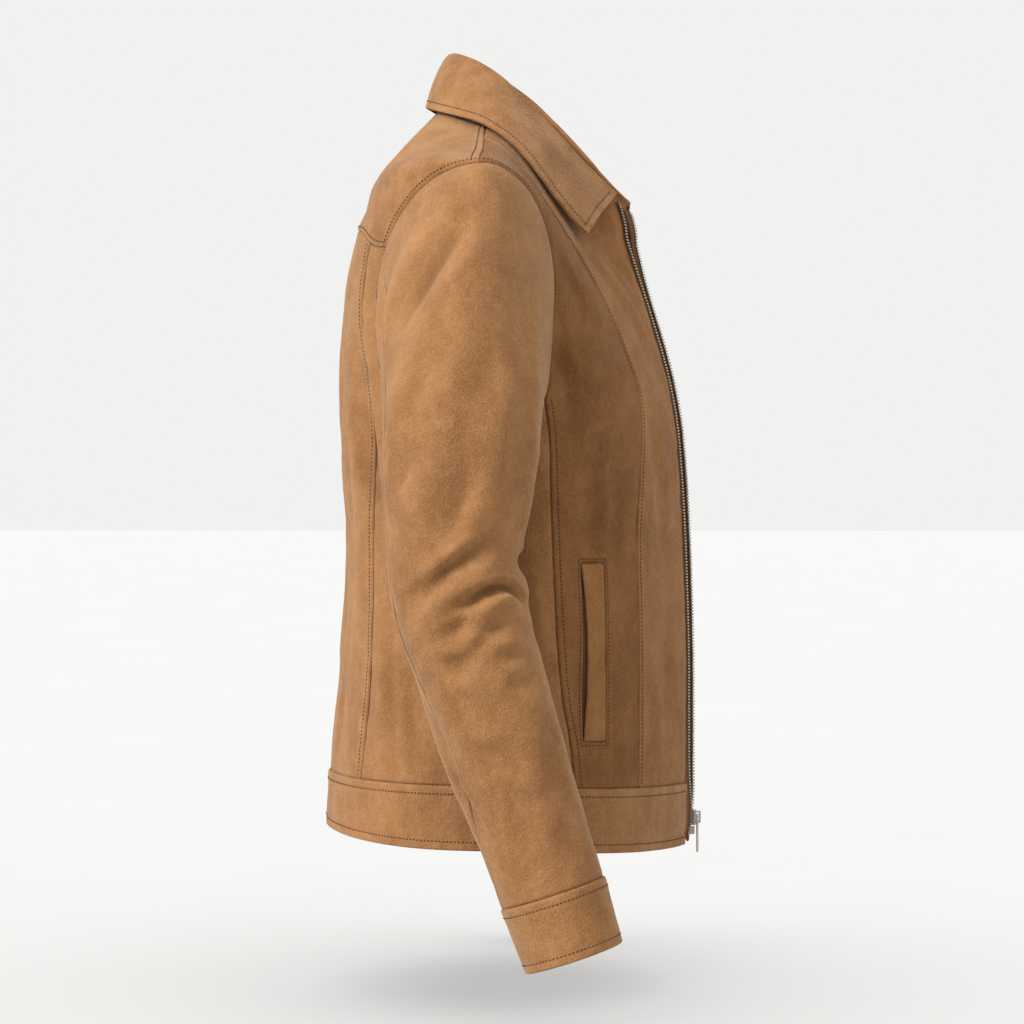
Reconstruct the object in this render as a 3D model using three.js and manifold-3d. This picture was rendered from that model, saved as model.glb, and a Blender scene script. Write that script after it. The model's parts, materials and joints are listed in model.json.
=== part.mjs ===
// Suede zip jacket, hollow as if worn: panelled body, set-in sleeves, folded collar, open zip.
// Millimetres. The origin is the middle of the neck, level with the high points of the shoulders.
// +Z is up, -Y is the front and -X is the wearer's right.
// A point of the body is an angle round it, 0 at the centre front, 90 at the wearer's right side
// and 180 at the centre back, and a level, which is the height of its ring at the side.
import * as THREE from "three";
import Module from "manifold-3d";

const wasm = await Module();
wasm.setup();

// Cloth
const SUEDE = 1.8;
const BAND_WALL = 2.6;
const BAND_LIFT = 0.5;
const COLLAR_WALL = 1.6;
const UNDER_COLLAR_WALL = 1.3;
const SEAM_GAP = 0.3;

// Levels of the body
const NECK = 86;
const SHOULDER_POINT = -49;
const BAND_TOP = -516;
const BAND_LEVELS = [BAND_TOP, -529, -541, -552, -562];

// Rings of the body, each with a front and a back end that drop from the height of its side.
// flare is how far the open fronts spring forward at the zip.
const RING_COLUMNS = [
  "level", "side_z", "half_width", "side_y", "front_z", "front_y", "front_power",
  "back_z", "back_y", "back_power", "flare",
];
const RINGS = [
  [-562, -562, 179, -5, -564, -140, 2.15, -553, 136, 2.15, 9],
  [-516, -516, 179, -5, -519, -143, 2.15, -509, 133, 2.15, 9],
  [-430, -430, 179, -5, -432, -143, 2.15, -426, 125, 2.15, 9],
  [-345, -345, 178, -5, -346, -141, 2.15, -343, 120, 2.15, 9],
  [-250, -250, 187, -6, -248, -136, 2.2, -250, 121, 2.25, 8],
  [-150, -150, 186, -12, -160, -113, 2.3, -150, 118, 2.5, 12],
  [-49, -49, 200, -19, -109, -80, 2.25, -60, 94, 2.4, 34],
  [18, -31, 137, -10, -90, -70, 2.2, -18, 73, 2.3, 45],
  [86, -2, 72, 0, -77, -75, 2.2, 17, 46, 2.2, 50],
];
const FLARE_WIDTH = 58;
const FLARE_FADE = 4;

// Seam lines as angle and level, each from its top down
const PRINCESS_SEAM = [
  [90, 46], [72, 22], [55, -8], [43, -38], [34.5, -69], [30.5, -115], [28, -160], [24.4, -205],
  [25, -235], [28, -275], [31.5, -327], [32, -405], [32, BAND_TOP],
];
const SIDE_SEAM = [
  [66, -222], [64.5, -253], [64.5, -297], [64.2, -342], [63.2, -401], [61.5, -446], [59, -479],
  [57.5, BAND_TOP],
];
const BACK_SEAM = [
  [131.5, -104.5], [131.3, -130], [130.8, -161], [129, -190], [126.8, -236], [127.2, -297],
  [128, -343], [127, -389], [126.5, -435], [128.2, BAND_TOP],
];
const YOKE_SEAM_SIDE = [[120.5, -110], [126, -109], [131.5, -104.5]];
const YOKE_SEAM_BACK = [[131.5, -104.5], [142, -93], [158, -85], [180, -82]];

// The armhole, from the shoulder point down the front, under the arm and up the back
const ARMHOLE = [
  [90, SHOULDER_POINT], [74, -46], [62.5, -50], [56, -68], [54.5, -95], [56.5, -125], [60, -157],
  [62.5, -190], [66, -222], [75, -243], [86, -251], [97, -250], [107, -238], [114, -213],
  [119, -178], [122.5, -140], [120.5, -110], [114, -86], [103, -64],
];
const SIDE_SEAM_CORNER = 8;
const YOKE_CORNER = 16;

// Cells along each stretch of seam
const CELLS = {
  armhole_front: 7, armhole_under: 10, armhole_back: 4, side_seam: 11, neck_front: 4,
  shoulder_inner: 2, shoulder_outer: 5, back: 16, neck_back: 4,
};

// Half-distance between the two fronts: at the zip's chain and at the suede's edge
const FRONT_COLUMNS = ["level", "chain", "suede"];
const FRONT_GAP = [
  [-562, 3.5, 12], [-552, 3.5, 12], [-541, 3.9, 12.6], [-529, 9, 17], [-512, 15.5, 21],
  [-480, 17, 21.7], [-345, 17, 21.7], [-130, 17.5, 22.2], [-80, 21, 25.7], [-20, 27, 31.7],
  [86, 34, 38.7],
];

// Soft folds of the body: both ends as angle and level, width, and height (troughs below zero)
const BODY_FOLD_COLUMNS = ["angle_0", "level_0", "angle_1", "level_1", "width", "height"];
const BODY_FOLDS = [
  [134, -165, 121, -320, 16, -3.5],
  [116, -262, 106, -400, 20, 3],
  [52, -190, 42, -290, 18, -3],
  [150, -150, 146, -330, 22, -2.5],
  [80, -300, 74, -440, 20, -3],
];
const MM_PER_BODY_DEGREE = 3.2;
// Share of a fold's height that is left at its two ends
const FOLD_ENDS = 0.4;

// Sleeve rings by distance below the bicep line: half-depth front to back and half-width
const SLEEVE_COLUMNS = ["along", "half_depth", "half_width"];
const SLEEVE_RINGS = [
  [0, 57, 49.5], [38, 53, 47.5], [80, 48.5, 45.5], [108, 48.5, 45.5], [148, 46, 44.3], [200, 43, 42.3],
  [248, 40.5, 40.5], [300, 39, 38.5], [328, 38.6, 37.6], [377, 36.4, 35.6],
];
const CAP_LENGTH = 150;
const CAP_SMOOTH = 30;
const CUFF_TOP = 328;
const CUFF_END = 377;
const CAP_STATIONS = [-150, -130, -108, -84, -58, -30, 0];
const SLEEVE_STATIONS = [
  22, 44, 62, 76, 88, 100, 112, 124, 136, 150, 170, 196, 226, 258, 292, CUFF_TOP,
];
const CUFF_STATIONS = [CUFF_TOP, 352, CUFF_END];
const ELBOW = 96;
const ELBOW_REACH = 44;
// Lean of the upper arm and forearm forward of plumb, and where the bicep line's middle is
const ARM_RIGHT = { upper: -3.7, fore: 18.5, centre: [-245.5, -14, -262], spread: -4, folds: 1 };
const ARM_LEFT = { upper: -6.5, fore: -1.5, centre: [-245.5, -12, -262], spread: -6, folds: 0.6 };
// How the cap leaves the armhole and reaches the bicep line, under the arm and at the top
const CAP_OUT = new THREE.Vector3(-0.93, -0.05, -0.36).normalize();
const CAP_DOWN = new THREE.Vector3(0, 0.03, -1);
const CAP_PULL = {
  out_under: 18, out_top: 72, out_power: 1.2, down_under: 14, down_top: 175, down_power: 1.3,
};

// Folds of the sleeve: both ends as degrees round it (0 outside, 90 front) and distance along
const SLEEVE_FOLD_COLUMNS = ["turn_0", "along_0", "turn_1", "along_1", "width", "height"];
const SLEEVE_FOLDS = [
  [-4, -108, -56, -52, 13, -4],
  [12, -60, -32, -20, 14, 2.5],
  [0, 117, 92, 86, 8.5, -6],
  [20, 124, 95, 108, 9, 3.5],
  [-12, 130, 95, 137, 8.5, -5.5],
  [-42, 106, 26, 76, 10, -4],
  [-60, 60, -15, 20, 14, -2.5],
  [30, 190, 80, 150, 12, -2.5],
  [120, 112, 200, 100, 10, -4],
];
const MM_PER_SLEEVE_DEGREE = 0.8;

// The collar by stations from the centre back to its front end: the angle where it meets the
// neck, its roll line and its outer edge
const COLLAR_COLUMNS = [
  "station", "angle", "roll_x", "roll_y", "roll_z", "edge_x", "edge_y", "edge_z",
];
const COLLAR = [
  [0, 180, 0, 42, 61, 0, 62, 18],
  [1, 152, -25, 33, 58, -42, 53, 13],
  [2, 125, -45, 14, 50, -72, 28, 4],
  [3, 98, -57, -8, 36, -97, 1, -5],
  [4, 76, -60, -30, 16, -111, -23, -19],
  [5, 60, -58, -52, -7, -115.5, -43, -38],
  [6, 46, -51, -72, -30, -111, -63, -66],
  [7, 36.5, -44, -88, -46, -106, -77, -84],
  [8, 29.5, -38, -99, -56, -102, -86, -93],
];
const COLLAR_END = 8;
const COLLAR_CELLS = 15;
const UNDER_COLLAR_START = 0.76;
const COLLAR_SECTION = [0, 0.1, 0.24, 0.38, 0.44, 0.5, 0.56, 0.63, UNDER_COLLAR_START, 0.89, 1];
const ROLL = { reach: 4.5, drop: 5, out: 4, fall: 3, full_stand: 20, bulge: 2 };

// Pocket: a slanted-in welt in a window of the front side panel
const POCKET = {
  front: 46.1, rear: 54.4, top: -344, bottom: -480, first_row: 12, rows: 5,
  before: 39.5, after: 58.4, slit: 1.5, welt_wall: 2.2, bag_edge: 3, bag_depth: 2.6, bag_wall: 1.2,
};

// Columns of the waistband within this many degrees of the zip follow its edge
const BAND_EDGE_DEGREES = 20;

// Zip: the tape's section runs from under the suede to the chain
const TAPE = {
  under: 10, back: 3.3, front: 2.3, clear: 0.4, slope: 0.3, chain: 3, chain_rise: 0.8, mount: 1,
};
const TAPE_REACH = 4.7;
const STEEPEST_FRONT = 0.5;
const SLIDER = { x: 5.6, top: -541.5, bottom: -553.4, slot: 4.7, plate: 1.3, web: 1.4, weld: 0.2 };
const BRIDGE = { half: 1.2, top: -542.3, bottom: -551.7, out: 4, bar: 1.25 };
const PULL = {
  half: 3.1, eye_half: 1.7, axis_z: -545.3, eye: 7.5, length: 29.5, wall: 1.3, corner: 1.6,
};
const BOX = { inner: 0.4, outer: 6.2, half_y: 2.3, top: -554.9, bottom: -561 };
const PIN = { inner: 0.4, outer: 5, half_y: 1.5, top: -554.9, bottom: -559.9 };

const SUEDE_FINISH = { color: 0xa87b4c, roughness: 0.95, metalness: 0 };
const SUEDE_DARK = { color: 0x8f643b, roughness: 0.95, metalness: 0 };
const TAPE_FINISH = { color: 0x3a2417, roughness: 0.9, metalness: 0 };
const METAL_FINISH = { color: 0x9b978c, roughness: 0.35, metalness: 1 };

const radians = THREE.MathUtils.degToRad;
const lerp = THREE.MathUtils.lerp;
const clamp01 = (x) => Math.min(1, Math.max(0, x));
const soft = (x) => clamp01(x) ** 2 * (3 - 2 * clamp01(x));
const steps = (count) => Array.from({ length: count + 1 }, (_, i) => i);
const vector = (x, y, z) => new THREE.Vector3(x, y, z);

// A smooth curve through the values that never swings past them (Fritsch and Carlson's slopes)
function smoothColumn(keys, values) {
  const spans = keys.slice(1).map((k, i) => k - keys[i]);
  const rates = spans.map((h, i) => (values[i + 1] - values[i]) / h);
  const slopes = keys.map((_, i) => {
    if (i === 0) return rates[0];
    if (i === rates.length) return rates[i - 1];
    const [before, after] = [rates[i - 1], rates[i]];
    if (before * after <= 0) return 0;
    const [w1, w2] = [2 * spans[i] + spans[i - 1], spans[i] + 2 * spans[i - 1]];
    return (w1 + w2) / (w1 / before + w2 / after);
  });
  return (key) => {
    const at = Math.min(keys[keys.length - 1], Math.max(keys[0], key));
    let i = 0;
    while (i < spans.length - 1 && at > keys[i + 1]) i++;
    const s = (at - keys[i]) / spans[i];
    const start = (1 + 2 * s) * (1 - s) ** 2 * values[i];
    const leaving = s * (1 - s) ** 2 * spans[i] * slopes[i];
    const end = s * s * (3 - 2 * s) * values[i + 1];
    const arriving = s * s * (s - 1) * spans[i] * slopes[i + 1];
    return start + leaving + end + arriving;
  };
}

// Columns of a table as functions of its first column
function table(names, rows) {
  const keys = rows.map((row) => row[0]);
  const columns = {};
  names.slice(1).forEach((name, i) => {
    columns[name] = smoothColumn(keys, rows.map((row) => row[i + 1]));
  });
  return columns;
}

// Rows of numbers as objects with named values
const named = (names, rows) =>
  rows.map((row) => Object.fromEntries(names.map((name, i) => [name, row[i]])));

const body = table(RING_COLUMNS, RINGS);
const frontGap = table(FRONT_COLUMNS, FRONT_GAP);
const sleeveSize = table(SLEEVE_COLUMNS, SLEEVE_RINGS);
const collarLine = table(COLLAR_COLUMNS, COLLAR);
const bodyFolds = named(BODY_FOLD_COLUMNS, BODY_FOLDS);
const sleeveFolds = named(SLEEVE_FOLD_COLUMNS, SLEEVE_FOLDS);

// Height of one fold at a place given in millimetres on the cloth
function foldHeight(x, y, x0, y0, x1, y1, width, height) {
  const [dx, dy] = [x1 - x0, y1 - y0];
  const share = ((x - x0) * dx + (y - y0) * dy) / (dx * dx + dy * dy);
  const nearest = clamp01(share);
  const off = Math.hypot(x - x0 - dx * nearest, y - y0 - dy * nearest) / width;
  const fade = lerp(FOLD_ENDS, 1, Math.sin(Math.PI * nearest));
  return height * fade * Math.exp(-off * off);
}

function bodyRelief(angle, level) {
  const turn = angle > 180 ? 360 - angle : angle;
  const mm = MM_PER_BODY_DEGREE;
  return bodyFolds.reduce((sum, f) => sum + foldHeight(turn * mm, level,
    f.angle_0 * mm, f.level_0, f.angle_1 * mm, f.level_1, f.width, f.height), 0);
}

// A point of the body's outer surface
function bodyPoint(angle, level) {
  const a = radians(angle);
  const end = Math.cos(a) >= 0 ? "front" : "back";
  const power = 2 / body[`${end}_power`](level);
  const across = Math.abs(Math.sin(a)) ** power;
  const towards = Math.abs(Math.cos(a)) ** power;
  const x = body.half_width(level) * across;
  const [sideY, sideZ] = [body.side_y(level), body.side_z(level)];
  const spring = end === "front" ? body.flare(level) * Math.exp(-((x / FLARE_WIDTH) ** 2)) : 0;
  const y = lerp(sideY, body[`${end}_y`](level), towards) - spring * soft(towards * FLARE_FADE);
  const z = lerp(sideZ, body[`${end}_z`](level), towards * towards);
  return vector(Math.sin(a) >= 0 ? -x : x, y, z);
}

// Outward direction of a surface that is given as a function of two values
function outward(surface, a, b, stepA, stepB) {
  const along = surface(a + stepA, b).sub(surface(a - stepA, b));
  const down = surface(a, b + stepB).sub(surface(a, b - stepB));
  return down.cross(along).normalize();
}

const bodyOutward = (angle, level) => outward(bodyPoint, angle, level, 0.4, 0.8);

// Angle of the suede's front edge at a level
function frontAngle(level) {
  const share = frontGap.suede(level) / body.half_width(level);
  return THREE.MathUtils.radToDeg(Math.asin(share ** (body.front_power(level) / 2)));
}

// A curve through points of angle and level
function seamCurve(points, closed = false) {
  const path = points.map(([angle, level]) => vector(angle, level, 0));
  const curve = new THREE.CatmullRomCurve3(path, closed, "catmullrom", 0.5);
  return (share) => {
    const p = curve.getPoint(share);
    return [p.x, p.y];
  };
}

// Points at equal distances on the body along a curve of angle and level
const CURVE_SAMPLES = 240;

function spaced(curve, cells) {
  const fine = steps(CURVE_SAMPLES).map((i) => curve(i / CURVE_SAMPLES));
  const length = [0];
  fine.slice(1).forEach((place, i) => {
    length.push(length[i] + bodyPoint(...place).distanceTo(bodyPoint(...fine[i])));
  });
  const total = length[length.length - 1];
  return steps(cells).map((k) => {
    const wanted = (total * k) / cells;
    let i = 1;
    while (i < CURVE_SAMPLES && length[i] < wanted) i++;
    const s = (wanted - length[i - 1]) / (length[i] - length[i - 1]);
    return [lerp(fine[i - 1][0], fine[i][0], s), lerp(fine[i - 1][1], fine[i][1], s)];
  });
}

const mirrored = (edge) => edge.map(([angle, level]) => [360 - angle, level]);
const joined = (...edges) => edges.reduce((all, edge) => [...all, ...edge.slice(1)]);
const reversed = (edge) => [...edge].reverse();
const level = (angles, height) => (share) => [lerp(...angles, share), height];
const acrossShoulder = (from, to) => (share) => [90, lerp(from, to, share)];

// A patch of angles and levels between four edges, row by row from the top. The bend of its top
// and bottom edges fades into the panel, the sooner the larger fade is.
function patch(top, bottom, left, right, fade = 3) {
  const [rows, columns] = [left.length - 1, top.length - 1];
  const blend = (i, j, axis) => {
    const [v, u] = [i / rows, j / columns];
    const bend = (edge) => edge[j][axis] - lerp(edge[0][axis], edge[columns][axis], u);
    const straight = lerp(left[i][axis], right[i][axis], u);
    return straight + bend(top) * (1 - v) ** fade + bend(bottom) * v ** fade;
  };
  return steps(rows).map((i) => steps(columns).map((j) => [blend(i, j, 0), blend(i, j, 1)]));
}

// Draws the border of a grid in by half a seam gap
function drawnIn(grid, around = false) {
  const [rows, columns] = [grid.length - 1, grid[0].length - 1];
  const shifted = grid.map((row) => row.map((p) => p.clone()));
  const draw = (i, j, towards, before, after) => {
    const run = after.clone().sub(before).normalize();
    const way = towards.clone().sub(grid[i][j]);
    way.addScaledVector(run, -way.dot(run)).normalize();
    shifted[i][j].addScaledVector(way, SEAM_GAP / 2);
  };
  steps(columns).forEach((j) => {
    const [a, b] = around
      ? [(j + columns) % (columns + 1), (j + 1) % (columns + 1)]
      : [Math.max(j - 1, 0), Math.min(j + 1, columns)];
    draw(0, j, grid[1][j], grid[0][a], grid[0][b]);
    draw(rows, j, grid[rows - 1][j], grid[rows][a], grid[rows][b]);
  });
  if (around) return shifted;
  steps(rows).forEach((i) => {
    const [a, b] = [Math.max(i - 1, 0), Math.min(i + 1, rows)];
    draw(i, 0, grid[i][1], grid[a][0], grid[b][0]);
    draw(i, columns, grid[i][columns - 1], grid[a][columns], grid[b][columns]);
  });
  return shifted;
}

// A closed body from corner points and the faces between them, with its faces turned out
function closedBody(points, faces) {
  const at = (i) => points[i];
  const volume = faces.reduce(
    (sum, [a, b, c]) => sum + at(a).dot(at(b).clone().cross(at(c))), 0);
  const index = volume > 0 ? faces.flat() : faces.flatMap(([a, b, c]) => [a, c, b]);
  const geometry = new THREE.BufferGeometry();
  geometry.setAttribute("position",
    new THREE.Float32BufferAttribute(points.flatMap((p) => p.toArray()), 3));
  geometry.setIndex(index);
  geometry.computeVertexNormals();
  return geometry;
}

// A wall of cloth between an outer and an inner grid. around joins its last column to the first,
// and open(row, column) says which cells are cut out.
function wall(outer, inner, { around = false, open = () => false } = {}) {
  const rows = outer.length - 1;
  const width = outer[0].length;
  const columns = around ? width : width - 1;
  const points = [...outer.flat(), ...inner.flat()];
  const at = (layer, i, j) => (layer * (rows + 1) + i) * width + (j % width);
  const cloth = (i, j) => {
    if (i < 0 || i >= rows) return false;
    if (!around && (j < 0 || j >= columns)) return false;
    return !open(i, (j + columns) % columns);
  };
  const faces = [];
  const quad = (a, b, c, d) => faces.push([a, b, c], [a, c, d]);
  for (let i = 0; i < rows; i++) {
    for (let j = 0; j < columns; j++) {
      if (!cloth(i, j)) continue;
      quad(at(0, i, j), at(0, i, j + 1), at(0, i + 1, j + 1), at(0, i + 1, j));
      quad(at(1, i, j), at(1, i + 1, j), at(1, i + 1, j + 1), at(1, i, j + 1));
      if (!cloth(i - 1, j)) quad(at(0, i, j), at(1, i, j), at(1, i, j + 1), at(0, i, j + 1));
      if (!cloth(i + 1, j)) {
        quad(at(0, i + 1, j), at(0, i + 1, j + 1), at(1, i + 1, j + 1), at(1, i + 1, j));
      }
      if (!cloth(i, j - 1)) quad(at(0, i, j), at(0, i + 1, j), at(1, i + 1, j), at(1, i, j));
      if (!cloth(i, j + 1)) {
        quad(at(0, i, j + 1), at(1, i, j + 1), at(1, i + 1, j + 1), at(0, i + 1, j + 1));
      }
    }
  }
  return closedBody(points, faces);
}

const offset = (grid, normals, distance) =>
  grid.map((row, i) => row.map((p, j) => p.clone().addScaledVector(normals[i][j], distance)));

// Grids of a panel that lies on the body: its points drawn in at the seams, and their normals
function bodyGrids(places, relief = bodyRelief) {
  const normals = places.map((row) => row.map(([a, l]) => bodyOutward(a, l)));
  const points = places.map((row, i) => row.map(([a, l], j) =>
    bodyPoint(a, l).addScaledVector(normals[i][j], relief(a, l))));
  return { points: drawnIn(points), normals };
}

const bodyPanel = ({ points, normals }, thick, lift = 0, options = {}) =>
  wall(offset(points, normals, lift), offset(points, normals, lift - thick), options);

const flipped = (geometry) => {
  const mirror = geometry.clone().scale(-1, 1, 1);
  const index = Array.from(mirror.index.array);
  for (let i = 0; i < index.length; i += 3) {
    [index[i + 1], index[i + 2]] = [index[i + 2], index[i + 1]];
  }
  return mirror.setIndex(index);
};

const jacket = new THREE.Group();

function add(name, geometry, finish) {
  const mesh = new THREE.Mesh(geometry, new THREE.MeshStandardMaterial(finish));
  mesh.name = name;
  jacket.add(mesh);
}

function addPair(name, geometry, finish) {
  add(`${name}_right`, geometry, finish);
  add(`${name}_left`, flipped(geometry), finish);
}

// Shared edges of the panels, all on the wearer's right
const armholeCurve = seamCurve(ARMHOLE, true);
const armholePart = (from, to) => (share) => armholeCurve(lerp(from, to, share) / ARMHOLE.length);
const armholeFront = spaced(armholePart(0, SIDE_SEAM_CORNER), CELLS.armhole_front);
const armholeUnder = spaced(armholePart(SIDE_SEAM_CORNER, YOKE_CORNER), CELLS.armhole_under);
const armholeBack = spaced(armholePart(YOKE_CORNER, ARMHOLE.length), CELLS.armhole_back);
const sideSeam = spaced(seamCurve(SIDE_SEAM), CELLS.side_seam);
const frontRows = CELLS.armhole_front + CELLS.side_seam;
const princessSeam = spaced(seamCurve(PRINCESS_SEAM), frontRows);
const backSeam = spaced(seamCurve(BACK_SEAM), CELLS.side_seam);
const princessTop = PRINCESS_SEAM[0][1];
const shoulderInner = spaced(acrossShoulder(NECK, princessTop), CELLS.shoulder_inner);
const shoulderOuter = spaced(acrossShoulder(princessTop, SHOULDER_POINT), CELLS.shoulder_outer);
const neckFront = spaced(level([frontAngle(NECK), 90], NECK), CELLS.neck_front);
const neckBack = spaced(level([90, 270], NECK), CELLS.neck_back);
const yokeSide = spaced(seamCurve(YOKE_SEAM_SIDE), 1);
const yokeHalf = spaced(seamCurve(YOKE_SEAM_BACK), CELLS.back / 2);
const yokeBack = joined(yokeHalf, mirrored(reversed(yokeHalf)));
const bandEdge = (from, to, cells) => spaced(level([from, to], BAND_TOP), cells);
const princessFoot = PRINCESS_SEAM[PRINCESS_SEAM.length - 1][0];
const sideFoot = SIDE_SEAM[SIDE_SEAM.length - 1][0];
const backFoot = BACK_SEAM[BACK_SEAM.length - 1][0];
const centreCells = CELLS.neck_front + CELLS.shoulder_inner;
const bandCentre = bandEdge(frontAngle(BAND_TOP), princessFoot, centreCells);
const bandFront = bandEdge(princessFoot, sideFoot, CELLS.shoulder_outer);
const bandSide = bandEdge(sideFoot, backFoot, CELLS.armhole_under + 1);
const bandBack = bandEdge(backFoot, 360 - backFoot, CELLS.back);
const frontEdge = spaced((share) => {
  const height = lerp(NECK, BAND_TOP, share);
  return [frontAngle(height), height];
}, frontRows);

// Front centre panels: from the zip to the princess seam
const frontCentreTop = joined(neckFront, shoulderInner);
const frontCentrePlaces = patch(frontCentreTop, bandCentre, frontEdge, princessSeam, 6);
const frontCentre = bodyGrids(frontCentrePlaces);
addPair("front_centre", bodyPanel(frontCentre, SUEDE), SUEDE_FINISH);

// Front side panels: from the princess seam to the armhole and the side seam, with the pocket
const frontSideRear = joined(armholeFront, sideSeam);
const frontSidePlaces = patch(shoulderOuter, bandFront, princessSeam, frontSideRear);
const pocketRow = (i) => lerp(POCKET.top, POCKET.bottom, i / POCKET.rows);
for (const i of steps(POCKET.rows)) {
  const row = frontSidePlaces[POCKET.first_row + i];
  [POCKET.before, POCKET.front, POCKET.rear, POCKET.after].forEach((angle, j) => {
    row[1 + j] = [angle, pocketRow(i)];
  });
}
const pocketWindow = (i, j) =>
  j === 2 && i >= POCKET.first_row && i < POCKET.first_row + POCKET.rows;
const frontSide = bodyPanel(bodyGrids(frontSidePlaces), SUEDE, 0, { open: pocketWindow });
addPair("front_side", frontSide, SUEDE_FINISH);

// Side panels: from the side seam to the back seam, under the armhole
const sidePanel = patch(joined(armholeUnder, yokeSide), bandSide, sideSeam, backSeam);
addPair("side_panel", bodyPanel(bodyGrids(sidePanel), SUEDE), SUEDE_FINISH);

const backCentre = patch(yokeBack, bandBack, backSeam, mirrored(backSeam));
add("back_centre", bodyPanel(bodyGrids(backCentre), SUEDE), SUEDE_FINISH);

// Back yoke: its top is the right shoulder, the back neck and the left shoulder
const shoulderUp = reversed(joined(shoulderInner, shoulderOuter));
const yokeTop = joined(shoulderUp, neckBack, mirrored(reversed(shoulderUp)));
const yokeBottom = joined(yokeSide, yokeBack, mirrored(reversed(yokeSide)));
const yokeLeft = reversed(armholeBack);
const yoke = bodyGrids(patch(yokeTop, yokeBottom, yokeLeft, mirrored(yokeLeft), 1));
add("yoke_back", bodyPanel(yoke, SUEDE), SUEDE_FINISH);

// Waistband: one strip round the body, its columns under those of the panels
const bandRight = joined(bandCentre, bandFront, bandSide);
const bandTop = joined(bandRight, bandBack, mirrored(reversed(bandRight)));
const bandPlaces = BAND_LEVELS.map((height) => {
  const start = frontAngle(height);
  const shift = start - frontAngle(BAND_TOP);
  return bandTop.map(([angle]) => {
    const fromEdge = 180 - Math.abs(180 - angle) - frontAngle(BAND_TOP);
    const near = Math.max(0, 1 - fromEdge / BAND_EDGE_DEGREES);
    return [angle + Math.sign(180 - angle) * shift * near, height];
  });
});
const band = bodyGrids(bandPlaces);
add("waistband", bodyPanel(band, BAND_WALL, BAND_LIFT), SUEDE_FINISH);

// Pocket welt in its window, and the pocket bag behind it
const pocketPlaces = (front, rear, top, bottom) => steps(POCKET.rows).map((i) => {
  const height = lerp(top, bottom, i / POCKET.rows);
  return [front, (front + rear) / 2, rear].map((angle) => [angle, height]);
});
const weltRear = POCKET.rear - POCKET.slit;
const welt = bodyGrids(pocketPlaces(POCKET.front, weltRear, POCKET.top, POCKET.bottom));
addPair("pocket_welt", bodyPanel(welt, POCKET.welt_wall), SUEDE_DARK);
const bag = bodyGrids(pocketPlaces(POCKET.front - POCKET.bag_edge, POCKET.rear + POCKET.bag_edge,
  POCKET.top + 3 * POCKET.bag_edge, POCKET.bottom - 3 * POCKET.bag_edge));
addPair("pocket_bag", bodyPanel(bag, POCKET.bag_wall, -POCKET.bag_depth), TAPE_FINISH);

// Sleeves
const armholeRing = joined(armholeFront, armholeUnder, armholeBack).slice(0, -1);
const ringPoints = armholeRing.map((place) => bodyPoint(...place));
const ringLengths = ringPoints.map((p, i) =>
  p.distanceTo(ringPoints[(i + 1) % ringPoints.length]));
const ringTotal = ringLengths.reduce((sum, length) => sum + length, 0);
const ringTurns = ringLengths.map((_, i) =>
  (360 * ringLengths.slice(0, i).reduce((sum, length) => sum + length, 0)) / ringTotal);

// Point of the armhole at degrees round it
function armholePoint(turn) {
  const at = THREE.MathUtils.euclideanModulo(turn, 360);
  let i = ringTurns.length - 1;
  while (ringTurns[i] > at) i--;
  const after = i + 1 < ringTurns.length ? ringTurns[i + 1] : 360;
  const s = (at - ringTurns[i]) / (after - ringTurns[i]);
  return ringPoints[i].clone().lerp(ringPoints[(i + 1) % ringPoints.length], s);
}

// Middle of the sleeve and its lean at a distance below the bicep line
function armAxis(arm, along) {
  const bent = (s) => soft((s - ELBOW + ELBOW_REACH) / (2 * ELBOW_REACH));
  const lean = (s) => radians(lerp(arm.upper, arm.fore, bent(s)));
  const cells = 40;
  const centre = vector(...arm.centre);
  centre.x += (arm.spread * along) / CUFF_END;
  steps(cells).slice(1).forEach((i) => {
    const middle = lean((along * (i - 0.5)) / cells);
    centre.y -= (Math.sin(middle) * along) / cells;
    centre.z -= (Math.cos(middle) * along) / cells;
  });
  return { centre, lean: lean(along) };
}

function sleeveTube(arm, turn, along) {
  const { centre, lean } = armAxis(arm, along);
  const forward = Math.sin(radians(turn)) * sleeveSize.half_depth(along);
  const out = Math.cos(radians(turn)) * sleeveSize.half_width(along);
  return centre.add(vector(-out, -forward * Math.cos(lean), forward * Math.sin(lean)));
}

// The cap runs in a smooth bend from the armhole to the bicep line
function sleeveCap(arm, turn, r) {
  const high = (1 + Math.cos(radians(turn))) / 2;
  const out = CAP_PULL.out_under + CAP_PULL.out_top * high ** CAP_PULL.out_power;
  const down = CAP_PULL.down_under + CAP_PULL.down_top * high ** CAP_PULL.down_power;
  return armholePoint(turn).multiplyScalar((1 + 2 * r) * (1 - r) ** 2)
    .addScaledVector(CAP_OUT, r * (1 - r) ** 2 * out)
    .addScaledVector(sleeveTube(arm, turn, 0), r * r * (3 - 2 * r))
    .addScaledVector(CAP_DOWN, r * r * (r - 1) * down);
}

const sleevePoint = (arm) => (turn, along) => {
  if (along >= 0) return sleeveTube(arm, turn, along);
  return sleeveCap(arm, turn, (along + CAP_LENGTH) / CAP_LENGTH);
};

function sleeveRelief(turn, along) {
  const mm = MM_PER_SLEEVE_DEGREE;
  const near = turn > 225 ? turn - 360 : turn;
  return sleeveFolds.reduce((sum, f) => sum + foldHeight(near * mm, along,
    f.turn_0 * mm, f.along_0, f.turn_1 * mm, f.along_1, f.width, f.height), 0);
}

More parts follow.
